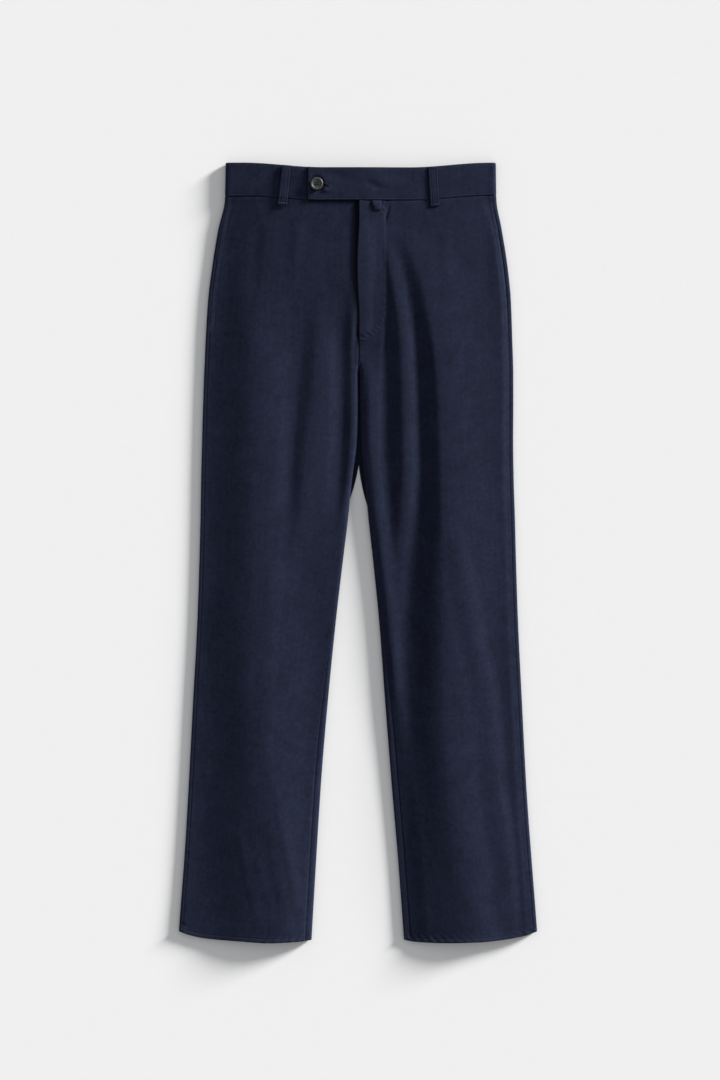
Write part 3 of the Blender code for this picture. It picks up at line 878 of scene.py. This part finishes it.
def build_seat_fork_and_shade(finish):
    """The backs' fork, which reaches lower than the fronts' and closes their slit. Lower
    down it is a dark sheet of painted shade, laid where shade falls between the legs.
    """
    rows = []
    for along in steps(0, 1, 24):
        row = []
        for side in steps(-1, 1, 24):
            part = 1 - FORK_ARCH * (1 - abs(side)) ** 1.25 + 0.03 * side
            length = (FORK_END - CROTCH + 6) * part
            drop = CROTCH - 6 + length * along
            left, right = Section("left", drop), Section("right", drop)
            reach = (left.inner + right.inner) / 2 + 3.5
            middle = (left.inner - right.inner) / 2
            row.append(left.place(middle + side * reach, 0.9))
        rows.append(row)
    shell("seat_fork_and_shade", rows, INNER_LAYER, finish)


# ---------------------------------------------------------------------- waistband
def band_height(leg, x):
    """The waistband's outer face, with the tab's lift on the left half."""
    height = LOFT + BAND_PROUD + swell(x, 0)
    if leg == "left":
        start, end = TAB_RAMP
        height += TAB_LIFT * (1 - ease((x - start) / (end - start)))
    return height


class Drag(NamedTuple):
    """An oval where the band is drawn up, or down where its height is negative."""
    x: float
    drop: float
    slope: float        # of its long axis
    stretch: float      # how many times longer than wide it is
    reach: float        # half of its width
    height: float


BAND_DRAGS = (
    # round the buttonhole
    Drag(-42, 30, 0, 1.6, 9, 0.7),
    Drag(-45, 31, 0, 1.8, 3.8, 0.8),
    Drag(-30, 15 - 30 / 9, 1 / 9, 2.2, 11, -0.7),
    # over the fly and the keeper
    Drag(22, 24, 1 / 5, 2.0, 8, -1.1),
    Drag(52, 20, -1 / 6, 2.4, 10, 0.8),
)


def band_waves(x, drop):
    """Shallow drags of the band, strongest beside the buttonhole."""
    along = math.sin(math.pi * min(max(drop / BAND_HEIGHT, 0), 1))
    slow = 0.42 * math.sin(x / 13 + 0.9 * math.sin(x / 41)) * math.sin(drop / 8 + x / 47) * along
    if x <= TAB_END:
        return slow
    drags = sum(drag.height * bump(math.hypot((x - drag.x) / drag.stretch,
                                              drop - drag.drop - drag.slope * (x - drag.x)),
                                   drag.reach) for drag in BAND_DRAGS)
    return slow + drags - bump(button_distance(x, drop) - BUTTON_RADIUS - 0.4, 2.6)


def button_distance(x, drop):
    """How far a place on the band lies from the button's middle."""
    return math.hypot(x - BUTTON_PLACE[0], drop - BUTTON_PLACE[1])


def band_inset(drop, from_end):
    """Rounding of the band's edges, and its two faint lines of construction."""
    lower = BAND_HEIGHT - drop
    edge = 0.8 * bump(drop, 1.5) + 0.7 * bump(lower, 1.5) + 0.8 * bump(from_end, 1.6)
    return edge + 0.16 * bump(lower - 2.6, 1.2)


def band_shade(leg, x, drop):
    """Painted shade round the button, and beside the tab's end, where their shadows fall."""
    if leg == "right":
        return 0.85 * bump(max(TAB_END - x, 0), 3.2)
    return 0.8 * bump(button_distance(x, drop) - BUTTON_RADIUS, 2.2)


def build_band(leg, finish):
    half = (LOFT + BAND_PROUD) / 2
    end = TAB_END if leg == "left" else -CENTRE - FLY_UNDERLAP
    if leg == "left":
        near_fly = ((end + 2, -44, 22), (-44, 86, 48))
    else:
        near_fly = ((end + 2, -TAB_END - 2, 30), (-TAB_END - 2, -TAB_END + 6, 8),
                    (-TAB_END + 6, 86, 5))
    rows, wear = [], []
    for drop in graded(((0, 2, 5), (2, BAND_HEIGHT - 5, 28), (BAND_HEIGHT - 5, BAND_HEIGHT, 9))):
        section = Section(leg, drop)
        row, worn_and_shaded = [], []
        for out in graded(((end, end + 2, 5), *near_fly, (86, 120, 30),
                           (120, section.flat_end, 28)))[:-1]:
            x = section.sign * out
            height = band_height(leg, x) - band_inset(drop, out - end) + band_waves(x, drop)
            row.append(section.place(out, height))
            # above 0 the worn edges are paler; below 0 painted shade along the top edge, beside
            # the belt loops, round the button and beside the tab's end
            worn_and_shaded.append(0.3 * bump(drop - 2.8, 2) - 0.4 * bump(drop, 1.4)
                        + 0.3 * bump(BAND_HEIGHT - drop - 1.5, 2)
                        + 0.5 * bump(out - end - 0.6, 1.8) * (leg == "left")
                        - loop_shade(leg, x, drop) - band_shade(leg, x, drop))
        for along in steps(-ARC, ARC, 14):
            inset = band_inset(drop, 100)
            out, height = section.side_ring(along, inset, half)
            row.append(section.place(out, height - section.relief(out) * (along < 0)))
            worn_and_shaded.append(0.3 * bump(along, 5) + 0.4 * bump(drop - 0.5, 2))
        for out in steps(section.flat_end, section.inner + FOLD, 40)[1:] + [section.inner]:
            row.append(section.place(out, band_inset(drop, out - section.inner)))
            worn_and_shaded.append(0.4 * bump(drop - 0.5, 2))
        rows.append(row)
        wear.append(worn_and_shaded)
    piece = shell(f"waistband_{leg}_cloth", turned(leg, rows), BAND, finish,
                  [f"waistband_{leg}"], turned(leg, wear))


# ----------------------------------------------------------- what lies on the panels
def top_height(leg, x, drop):
    """The highest cloth at a place: waistband, or the front below it."""
    if drop <= BAND_HEIGHT:
        return band_height(leg, x) + band_waves(x, drop)
    lift = fly_lift(x, drop) if leg == "left" else 0.0
    section = Section(leg, drop)
    return LOFT + section.relief(section.sign * x) + lift


class Strap(NamedTuple):
    """A strap that lies over the waistband or the front."""
    leg: str
    top: float          # drops of its two ends
    foot: float
    wall: float
    arch: float         # how far it stands off at its middle
    line: Callable      # its middle and width at a drop
    profile: Callable   # relief of its face


@functools.cache
def strap_seat(strap, drop):
    """A strap's middle and width at one drop, and the height on which its face lies."""
    along = (drop - strap.top) / (strap.foot - strap.top)
    middle, width = strap.line(drop)
    seat = max(top_height(strap.leg, middle + side * width, drop) for side in (-0.5, 0, 0.5))
    rise = SEAM + strap.wall + strap.arch * math.sin(math.pi * along) ** 0.6
    return middle, width, seat + rise


def strap_place(strap, drop, part, lift=0.0):
    """A place on a strap's face: part runs from -0.5 to 0.5 across it."""
    middle, width, height = strap_seat(strap, drop)
    height += strap.profile(part * width, width / 2, drop - strap.top, strap.foot - drop)
    section = Section(strap.leg, drop)
    return section.place(section.sign * (middle + part * width), height + lift)


def strap_rows(strap, drops, parts):
    return turned(strap.leg, [[strap_place(strap, drop, part) for part in parts]
                              for drop in drops])


def loop_profile(x, half, from_top, from_end):
    """Rounded edges, two sunk rows of stitching, a sunk bar tack and its folded end."""
    edge = half - abs(x)
    height = (-0.6 * bump(edge, 1.3) if x < 0 else -0.2 * bump(edge, 0.8))
    height -= 0.28 * bump(edge - 2.7, 1.0)
    height -= 0.6 * bump(from_end, 1.1) + 0.5 * bump(from_top, 1.4)
    height -= 0.8 * bump(from_end - LOOP_TURN_UP, 1.3)
    return height + 0.5 * bump(from_end - LOOP_TURN_UP / 2, 2.6)


BELT_LOOPS = {leg: Strap(leg, LOOP_TOP, LOOP_END, STRAP, LOOP_ARCH,
                         functools.partial(loop_line, leg), loop_profile) for leg in SIGNS}


def build_belt_loop(leg, finish):
    drops = graded(((LOOP_TOP, 4, 5), (4, LOOP_END - 8, 26), (LOOP_END - 8, LOOP_END, 16)))
    parts = steps(-0.5, 0.5, 22)
    rows = strap_rows(BELT_LOOPS[leg], drops, parts)
    wear = [[0.2 * bump(abs(part) - 0.5, 0.16) + 0.15 * bump(LOOP_END - drop - 2.5, 2.5)
             for part in parts] for drop in drops]
    piece = shell(f"belt_loop_{leg}_cloth", rows, STRAP, finish, [f"belt_loop_{leg}"], wear)


KEEPER_TOP = BAND_HEIGHT + 0.8
KEEPER_FOOT = KEEPER_END - waist_shift(KEEPER_CENTRES[0])


def keeper_line(drop):
    """The middle and the width of the prong keeper."""
    along = (drop - KEEPER_TOP) / (KEEPER_FOOT - KEEPER_TOP)
    return [ends[0] + (ends[1] - ends[0]) * along for ends in (KEEPER_CENTRES, KEEPER_WIDTHS)]


def keeper_profile(x, half, _, from_end):
    """Rounded edges and foot, with a faint line of stitching."""
    edge = half - abs(x)
    return -0.5 * bump(edge, 1.1) - 0.5 * bump(from_end, 1.1) - 0.2 * bump(edge - 2, 0.9)


def build_keeper(finish):
    """Short tapered tab out of the waist seam that holds a belt's prong."""
    keeper = Strap("left", KEEPER_TOP, KEEPER_FOOT, KEEPER_WALL, KEEPER_ARCH, keeper_line,
                   keeper_profile)
    drops = steps(KEEPER_TOP, KEEPER_FOOT, 22)
    parts = steps(-0.5, 0.5, 16)
    wear = [[0.35 + 0.4 * bump(part - 0.5, 0.2) for part in parts]] * len(drops)
    piece = shell("prong_keeper_cloth", strap_rows(keeper, drops, parts), KEEPER_WALL, finish,
                  ["prong_keeper"], wear)


# ------------------------------------------------------------------------- stitching
STITCH_SINK = 0.1           # of a stitch into the cloth
STITCH_GAP = 0.22           # share of a stitch's pitch where the thread is below the cloth


def add_stitch(mesh, start, end, thread):
    """One stitch: a spindle of thread of few faces, from start to end."""
    along = end - start
    side = along.cross(UP).normalized()
    frame = Matrix((along.normalized(), side, side.cross(along).normalized())).transposed()
    place = Matrix.Translation((start + end) / 2) @ frame.to_4x4()
    size = Matrix.Diagonal((along.length / 2, thread * MM / 2, thread * MM / 2.6, 1))
    bmesh.ops.create_uvsphere(mesh, u_segments=6, v_segments=4, radius=1,
                              matrix=place @ size @ Matrix.Rotation(math.pi / 2, 4, "Y"))


def stitch_line(mesh, places, pitch, thread):
    """Stitches at an even pitch along a line of places, a little sunk in the cloth."""
    marks = running_lengths(places)
    count = max(1, round(marks[-1] / (pitch * MM)))

    def at(length):
        i = min(bisect_right(marks, length), len(marks) - 1) - 1
        part = (length - marks[i]) / (marks[i + 1] - marks[i])
        return places[i].lerp(places[i + 1], part) - UP * STITCH_SINK * MM

    for i in range(count):
        start = at(marks[-1] * (i + STITCH_GAP / 2) / count)
        end = at(marks[-1] * (i + 1 - STITCH_GAP / 2) / count)
        add_stitch(mesh, start, end, thread)


def add_stitching(name, places, finish, pitch=3.0, thread=0.55):
    """A piece that is one row of stitches."""
    mesh = bmesh.new()
    stitch_line(mesh, places, pitch, thread)
    add_piece(name, mesh, finish)


def front_surface(leg, x, drop):
    """A place on a front's finished face."""
    section = Section(leg, drop)
    out = section.sign * x
    across = out - section.flat_start + ARC
    height = LOFT + section.relief(out) + front_detail(section, across, *section.front_ends())
    if leg == "left":
        height += fly_lift(out, drop)
    return section.place(out, height)


def build_fly_stitching(finish):
    """The curved row that holds the fly's facing."""
    turn_x, turn_drop = FLY_TURN
    wide = FLY_STITCH[1] - turn_x
    places = []
    for drop in steps(PANEL_TOP + 1, turn_drop, 60):
        x = FLY_STITCH[0] + (FLY_STITCH[1] - FLY_STITCH[0]) * drop / turn_drop
        places.append(front_surface("left", x, drop))
    for angle in steps(0, math.radians(84), 24)[1:]:
        places.append(front_surface("left", turn_x + wide * math.cos(angle),
                                    turn_drop + FLY_TURN_DROP * math.sin(angle)))
    add_stitching("fly_stitching", places, finish, pitch=2.8)


def build_bar_tack(finish, count=14):
    """Close stitches side by side across the fly's foot."""
    first = front_surface("left", 3.0, FLY_END + 2.5)
    last = front_surface("left", 11.5, FLY_END + 3.5)
    side = (last - first).normalized().cross(UP) * 0.8 * MM
    mesh = bmesh.new()
    for i in range(count):
        middle = first.lerp(last, (i + 0.5) / count) + UP * 0.25 * MM
        add_stitch(mesh, middle - side, middle + side, 0.62)
    add_piece("bar_tacks", mesh, finish)


def build_hem_stitching(leg, finish):
    """One row round the top face of a hem, from fold to fold."""
    section = Section(leg, LENGTH - HEM_STITCH)
    places = []
    for across in steps(2.5, section.across - 2.5, 110):
        out, height = section.top(across)
        places.append(section.place(out, height + hem_detail(section, across)))
    add_stitching(f"hem_stitching_{leg}", places, finish, pitch=3.2)


def build_pocket_stitching(leg, finish):
    places = []
    for drop in steps(POCKET_TOP + 6, POCKET_END - 1, 70):
        section = Section(leg, drop)
        out = section.top(section.front_ends()[1] - POCKET_STITCH)[0]
        places.append(front_surface(leg, section.sign * out, drop))
    add_stitching(f"pocket_stitching_{leg}", places, finish, thread=0.5)


def build_loop_stitching(leg, finish):
    """Two rows along a belt loop, and a bar tack over each end."""
    loop = BELT_LOOPS[leg]
    mesh = bmesh.new()
    for part in (-0.27, 0.27):
        row = [strap_place(loop, drop, part)
               for drop in steps(3, LOOP_END - LOOP_TURN_UP - 1, 24)]
        stitch_line(mesh, row, pitch=2.7, thread=0.48)
    for drop in (LOOP_END - LOOP_TURN_UP, 2.6):
        for part in steps(-0.4, 0.4, 15):
            add_stitch(mesh, strap_place(loop, drop - 0.8, part, 0.2),
                       strap_place(loop, drop + 0.8, part, 0.2), 0.55)
    add_piece(f"belt_loop_stitching_{leg}", mesh, finish)


def build_hem_fold(leg, finish):
    """The turned-up layer inside a hem, which shows at its open end."""
    inset = TWILL + 0.1
    rows = []
    for drop in steps(LENGTH - HEM_STITCH - 1.2, LENGTH - 0.4, 8):
        section = Section(leg, drop)
        side = [section.side_ring(along, inset) for along in steps(-ARC, ARC, 16)]
        floor = [(out, inset) for out in steps(section.flat_end, section.flat_start, 30)[1:-1]]
        turn = [section.inner_ring(along, inset) for along in steps(ARC, -ARC, 16)]
        top = [(out, LOFT + section.relief(out) - inset)
               for out in steps(section.flat_start, section.flat_end, 60)[1:-1]]
        rows.append([section.place(out, height)
                     for out, height in side + floor + turn + top + side[:1]])
    shell(f"hem_fold_{leg}", turned(leg, rows), INNER_LAYER, finish, even=False)


# --------------------------------------------------------------------------- fastening
def button_seat():
    """The middle of the button's foot, on the tab."""
    x, drop = BUTTON_PLACE
    seat = band_height("left", x) + SEAM
    return Section("left", drop).place(x, seat)


def build_button(finish):
    """A turned disc with a raised rim and four holes."""
    height = BUTTON_HEIGHT
    dish = height - BUTTON_DISH
    profile = ((0.0, dish), (0.35, dish - 0.05), (0.55, dish + 0.02), (0.66, dish + 0.35),
               (0.73, height - 0.25), (0.80, height - 0.03), (0.87, height),
               (0.94, height - 0.3), (0.985, 0.72 * height), (1, 0.5 * height),
               (0.97, 0.3 * height), (0.88, 0.1 * height), (0.7, 0), (0, 0))
    mesh = bmesh.new()
    corners = [mesh.verts.new((share * BUTTON_RADIUS * MM, 0, z * MM)) for share, z in profile]
    edges = [mesh.edges.new(pair) for pair in zip(corners, corners[1:])]
    bmesh.ops.spin(mesh, geom=corners + edges, axis=(0, 0, 1), cent=(0, 0, 0), steps=72,
                   angle=2 * math.pi, use_merge=True)
    bmesh.ops.remove_doubles(mesh, verts=mesh.verts, dist=1e-6)
    bmesh.ops.recalc_face_normals(mesh, faces=mesh.faces)
    bmesh.ops.translate(mesh, verts=mesh.verts, vec=button_seat())
    button = add_piece("waist_button_turned", mesh, finish, ["waist_button"])

    holes = bmesh.new()
    for place in button_holes():
        add_rod(holes, place, HOLE_RADIUS, 12, 20)
    drill = put_mesh("drill", holes)
    cut = button.modifiers.new("holes", "BOOLEAN")
    cut.object = drill
    settle(button, 35)
    bpy.data.objects.remove(drill)


def add_rod(mesh, middle, radius, depth, segments):
    """An upright rod about its middle."""
    bmesh.ops.create_cone(mesh, cap_ends=True, segments=segments, radius1=radius * MM,
                          radius2=radius * MM, depth=depth * MM,
                          matrix=Matrix.Translation(middle))


def button_holes():
    """Places of the four holes, at the button's foot."""
    angles = [HOLE_TURN + math.pi / 4 + math.pi / 2 * i for i in range(4)]
    return [button_seat() + Vector((math.cos(angle), math.sin(angle), 0)) * HOLE_CIRCLE * MM
            for angle in angles]


def build_button_thread(finish):
    """Two pairs of thread bars over the button, and its shank below."""
    holes = button_holes()
    mesh = bmesh.new()
    for first, last in ((holes[0], holes[3]), (holes[1], holes[2])):
        side = (last - first).cross(UP).normalized() * 0.3 * MM
        for part in (-1, 0, 1):
            lift = UP * (BUTTON_HEIGHT - 1.0 + (0.22 if part else 0.4)) * MM
            add_stitch(mesh, first + lift + side * part, last + lift + side * part, 0.38)
    for place in holes:
        add_rod(mesh, place + UP * 1.1 * MM, 0.4, BUTTON_HEIGHT - 0.9, 8)
    add_piece("button_thread", mesh, finish)


def band_place(x, drop, lift):
    """A place over the left half of the waistband."""
    section = Section("left", drop)
    return section.place(x, band_height("left", x) + band_waves(x, drop) + lift)


def slit_width(part):
    """Half of the slit's width: the button's shank pulls it open."""
    return 0.45 + 4.6 * (1 - part)


def build_buttonhole(finish, slit_shade):
    """Close stitches round a slit that the button pulls open, and a near-black sheet
    of painted shade inside the slit.
    """
    start, end = Vector(BUTTONHOLE[0]), Vector(BUTTONHOLE[1])
    along = (end - start).normalized()
    side = Vector((-along.y, along.x))
    mesh = bmesh.new()

    def over_edge(origin, way, near, far):
        """One stitch over the slit's edge, from near to far along its way."""
        first, last = origin + way * near, origin + way * far
        add_stitch(mesh, band_place(*first, 0.12), band_place(*last, -0.1), 0.6)

    for part in steps(0, 1, 40):
        for way in (-side, side):
            over_edge(start.lerp(end, part), way, slit_width(part), slit_width(part) + 1.4)
    for angle in steps(-80, 80, 8):
        over_edge(end, Matrix.Rotation(math.radians(angle), 2) @ along, 0.5, 2.1)
    add_piece("buttonhole_stitching", mesh, finish)

    # a near-black sheet of painted shade in the slit's opening
    slit = bmesh.new()
    bmesh.ops.create_grid(slit, x_segments=24, y_segments=2, size=1)
    for vertex in slit.verts:
        part = (vertex.co.x + 1) / 2
        place = start.lerp(end, part) + side * vertex.co.y * slit_width(part)
        vertex.co = band_place(place.x, place.y, 0.06)
    bmesh.ops.reverse_faces(slit, faces=slit.faces)
    thicken(add_piece("buttonhole_slit", slit, slit_shade), 0.2, 1, False)


# --------------------------------------------------------------------------- finishes
class Wire:
    """A socket of a material's nodes: arithmetic on it adds Math nodes."""

    def __init__(self, finish, socket):
        self.finish = finish
        self.socket = socket

    def math(self, operation, *values):
        inputs = {i: value for i, value in enumerate((self,) + values)}
        return self.finish.node("ShaderNodeMath", {"operation": operation}, inputs)

    def __add__(self, other):
        return self.math("ADD", other)

    def __mul__(self, other):
        return self.math("MULTIPLY", other)

    def __sub__(self, other):
        return self.math("SUBTRACT", other)

    def __rsub__(self, other):
        return (self * -1) + other

    def __truediv__(self, other):
        return self.math("DIVIDE", other)

    __radd__ = __add__
    __rmul__ = __mul__

    def sin(self):
        return self.math("SINE")

    def clamp(self):
        return self.math("MAXIMUM", 0.0).math("MINIMUM", 1.0)


class Finish:
    """One material: its nodes are added by node(), and its shader's sockets by set()."""

    def __init__(self, name):
        self.material = bpy.data.materials.new(name)
        self.material.use_nodes = True
        self.tree = self.material.node_tree
        self.shader = self.tree.nodes["Principled BSDF"]

    def plug(self, socket, value):
        if isinstance(value, Wire):
            self.tree.links.new(value.socket, socket)
        else:
            socket.default_value = value

    def node(self, kind, settings=None, inputs=None, output=0):
        """A node of this kind: first its settings, then its sockets' values or links."""
        node = self.tree.nodes.new(kind)
        for name, value in (settings or {}).items():
            if name == "stops":
                ramp = node.color_ramp.elements
                for place, colour in value[2:]:
                    ramp.new(place)
                for element, (place, colour) in zip(ramp, value):
                    element.position = place
                    element.color = (*colour, 1)
            else:
                setattr(node, name, value)
        for name, value in (inputs or {}).items():
            self.plug(node.inputs[name], value)
        return Wire(self, node.outputs[output])

    def set(self, **sockets):
        for name, value in sockets.items():
            self.plug(self.shader.inputs[name.replace("_", " ")], value)

    def object_place(self):
        return self.node("ShaderNodeTexCoord", output=3)

    def bump(self, strength, distance, height):
        return self.node("ShaderNodeBump", None,
                         {"Strength": strength, "Distance": distance, "Height": height})

    def noise(self, scale, detail, roughness, vector, distortion=0.0):
        return self.node("ShaderNodeTexNoise", None,
                         {"Vector": vector, "Scale": scale, "Detail": detail,
                          "Roughness": roughness, "Distortion": distortion})

    def mix(self, factor, first, second):
        return self.node("ShaderNodeMix", {"data_type": "RGBA"},
                         {0: factor, 6: first, 7: second}, output=2)


DEEP_NAVY = (0.0039, 0.0057, 0.0146, 1)
PALE_NAVY = (0.0139, 0.0187, 0.0428, 1)
WORN_NAVY = (0.038, 0.047, 0.086, 1)
# near black, for painted shade
PAINTED_SHADE_NAVY = (0.0006, 0.0008, 0.0016, 1)
NAP_TINT = (0.45, 0.55, 1.0, 1)
DEEP_THREAD = (0.009, 0.012, 0.024, 1)
PALE_THREAD = (0.020, 0.026, 0.048, 1)
# near black, for the painted shade inside the buttonhole's slit
DEEP_SLIT_SHADE = (0.002, 0.0024, 0.004, 1)
PALE_SLIT_SHADE = (0.004, 0.005, 0.008, 1)
HORN_STREAKS = ((0.32, (0.004, 0.005, 0.006)), (0.74, (0.058, 0.062, 0.064)),
                (0.48, (0.011, 0.012, 0.013)), (0.60, (0.030, 0.032, 0.034)))
PAPER = ((0.77, 0.77, 0.77, 1), (0.79, 0.79, 0.79, 1))
RIB_PITCH = 0.00062         # of the twill, in metres, as all lengths in the finishes


def twill_finish(name, lightness=1.0):
    """Garment-dyed cotton twill: diagonal ribs, cloudy dye, worn edges, a soft nap and painted
    shade.
    """
    finish = Finish(name)
    place = finish.object_place()
    weave = finish.node("ShaderNodeUVMap", {"uv_map": "weave"})
    across = finish.node("ShaderNodeSeparateXYZ", None, {0: weave}, output=0)
    along = finish.node("ShaderNodeSeparateXYZ", None, {0: weave}, output=1)

    clouds = finish.noise(45.0, 4.0, 0.6, place, 0.3)
    specks = finish.noise(190.0, 4.0, 0.65, place)
    slubs = finish.noise(260.0, 2.0, 0.5, finish.node(
        "ShaderNodeMapping", None, {0: weave, "Scale": (1.0, 0.06, 1.0)}))
    dye = (clouds - 0.5) * 0.7 + (specks - 0.5) * 1.2 + (slubs - 0.5) * 0.4 + 0.38
    worn_and_shaded = finish.node("ShaderNodeAttribute", {"attribute_name": "wear"}, None, output=2)
    navy = finish.mix(dye.clamp(), scaled(DEEP_NAVY, lightness), scaled(PALE_NAVY, lightness))
    rubbed = (worn_and_shaded * (0.25 + specks * 0.9)).clamp()
    # below 0 the per-point values are painted shade: near black in grooves, under edges and
    # beside straps, where shadows fall
    shaded = (worn_and_shaded * -0.85).clamp()
    colour = finish.mix(shaded, finish.mix(rubbed * 0.55, navy, WORN_NAVY), PAINTED_SHADE_NAVY)

    ribs = ((across * 0.87 + along * 0.5) * (2 * math.pi / RIB_PITCH)).sin()
    yarns = ((across * 0.5 - along * 0.87) * (2 * math.pi / (RIB_PITCH * 0.62))).sin()
    fuzz = finish.noise(2600.0, 2.0, 0.6, place)
    height = ribs * 0.32 + yarns * 0.12 + fuzz * 0.7 + slubs * 0.5 + specks * 0.6
    finish.set(Base_Color=colour, Roughness=0.86 + (specks - 0.5) * 0.12,
               Normal=finish.bump(0.35, 0.00016, height), Specular_IOR_Level=0.1,
               Sheen_Weight=0.10, Sheen_Roughness=0.45, Sheen_Tint=NAP_TINT)
    return finish.material


def scaled(colour, factor):
    """A lighter or a deeper shade of a colour."""
    return tuple(channel * factor for channel in colour[:3]) + (1,)


def thread_finish():
    finish = Finish("navy_thread")
    place = finish.object_place()
    twist = finish.noise(1800.0, 2.0, 0.5, place)
    finish.set(Base_Color=finish.mix(twist, DEEP_THREAD, PALE_THREAD), Roughness=0.85,
               Normal=finish.bump(0.4, 0.0001, twist), Specular_IOR_Level=0.1)
    return finish.material


def slit_shade_finish():
    """Painted shade: a near-black sheet inside the buttonhole's slit, where shadow falls."""
    finish = Finish("slit_painted_shade")
    grain = finish.noise(900.0, 2.0, 0.5, finish.object_place())
    finish.set(Base_Color=finish.mix(grain, DEEP_SLIT_SHADE, PALE_SLIT_SHADE), Roughness=0.95,
               Specular_IOR_Level=0.05)
    return finish.material


def horn_finish():
    """Grey imitation horn: streaks, a satin polish and fine scratches."""
    finish = Finish("grey_horn")
    place = finish.object_place()
    turned_place = finish.node("ShaderNodeMapping", None,
                               {0: place, "Rotation": (0, 0, 0.9), "Scale": (1.0, 0.28, 1.0)})
    streaks = finish.noise(420.0, 4.0, 0.65, turned_place, 1.2)
    grain = finish.noise(1500.0, 3.0, 0.6, place)
    colour = finish.node("ShaderNodeValToRGB", {"stops": HORN_STREAKS},
                         {0: streaks + (grain - 0.5) * 0.25})
    finish.set(Base_Color=colour, Roughness=0.34 + grain * 0.2,
               Normal=finish.bump(0.25, 0.0002, streaks + grain * 0.3))
    return finish.material


def floor_finish():
    """Pale matt paper."""
    finish = Finish("pale_ground")
    place = finish.object_place()
    fibre = finish.noise(60.0, 4.0, 0.6, place)
    finish.set(Base_Color=finish.mix(fibre, *PAPER), Roughness=1.0, Specular_IOR_Level=0.0)
    return finish.material


# ------------------------------------------------------------------- floor, light, view
FLOOR_SIZE = 40.0                       # metres
FLOOR_GAP = 0.3
SUN_STRENGTH = 9.8
SUN_AZIMUTH = math.radians(32)          # from +X towards +Y
SUN_ELEVATION = math.radians(12)
SUN_SPREAD = math.radians(13)
SUN_COLOUR = (1.0, 0.99, 0.975)
SKY = 0.48
SKY_COLOUR = (0.97, 0.985, 1.0, 1)

FRAME_HEIGHT = 1512.0 * MM              # of the view, at the height of the cloth
VIEW_CENTRE = (2.8 * MM, 18.2 * MM)
LENS = 100.0
SENSOR = 24.0


def build_floor():
    mesh = bmesh.new()
    bmesh.ops.create_grid(mesh, x_segments=1, y_segments=1, size=FLOOR_SIZE / 2)
    bmesh.ops.translate(mesh, verts=mesh.verts, vec=-UP * FLOOR_GAP * MM)
    ground = put_mesh("ground", mesh, floor_finish())


def build_light():
    light = bpy.data.lights.new("window", "SUN")
    light.energy = SUN_STRENGTH
    light.angle = SUN_SPREAD
    light.color = SUN_COLOUR
    lamp = put("window", light)
    direction = Vector((math.cos(SUN_AZIMUTH) * math.cos(SUN_ELEVATION),
                        math.sin(SUN_AZIMUTH) * math.cos(SUN_ELEVATION),
                        math.sin(SUN_ELEVATION)))
    lamp.rotation_euler = direction.to_track_quat("Z", "Y").to_euler()

    world = bpy.data.worlds.new("room")
    world.use_nodes = True
    sky = world.node_tree.nodes["Background"]
    sky.inputs["Color"].default_value = SKY_COLOUR
    sky.inputs["Strength"].default_value = SKY
    bpy.context.scene.world = world
    bpy.context.scene.view_settings.view_transform = "Standard"


def build_camera():
    data = bpy.data.cameras.new("camera")
    data.sensor_fit = "VERTICAL"
    data.sensor_height = SENSOR
    data.lens = LENS
    data.clip_end = 100
    camera = put("camera", data)
    camera.location = (*VIEW_CENTRE, FRAME_HEIGHT * LENS / SENSOR + LOFT * MM)
    bpy.context.scene.camera = camera


# -------------------------------------------------------------------------- assembly
def main():
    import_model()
    build_camera()
    build_light()
    build_floor()

    twill = twill_finish("navy_twill")
    band_twill = twill_finish("band_twill")
    # a deeper copy of the twill: on the pocket facings, and on the seat fork, where its depth
    # also stands for the shade between the legs
    facing_twill = twill_finish("facing_twill", 0.7)
    thread = thread_finish()
    for leg in SIGNS:
        build_front(leg, twill)
        build_back(leg, twill)
        build_band(leg, band_twill)
        build_pocket_facing(leg, facing_twill)
        build_belt_loop(leg, band_twill)
        build_loop_stitching(leg, thread)
        build_hem_stitching(leg, thread)
        build_pocket_stitching(leg, thread)
        build_hem_fold(leg, twill)
    # the fork's dark cloth is partly painted shade between the legs
    build_seat_fork_and_shade(facing_twill)
    build_keeper(band_twill)
    build_fly_stitching(thread)
    build_bar_tack(thread)
    build_button(horn_finish())
    build_button_thread(thread)
    build_buttonhole(thread, slit_shade_finish())


main()
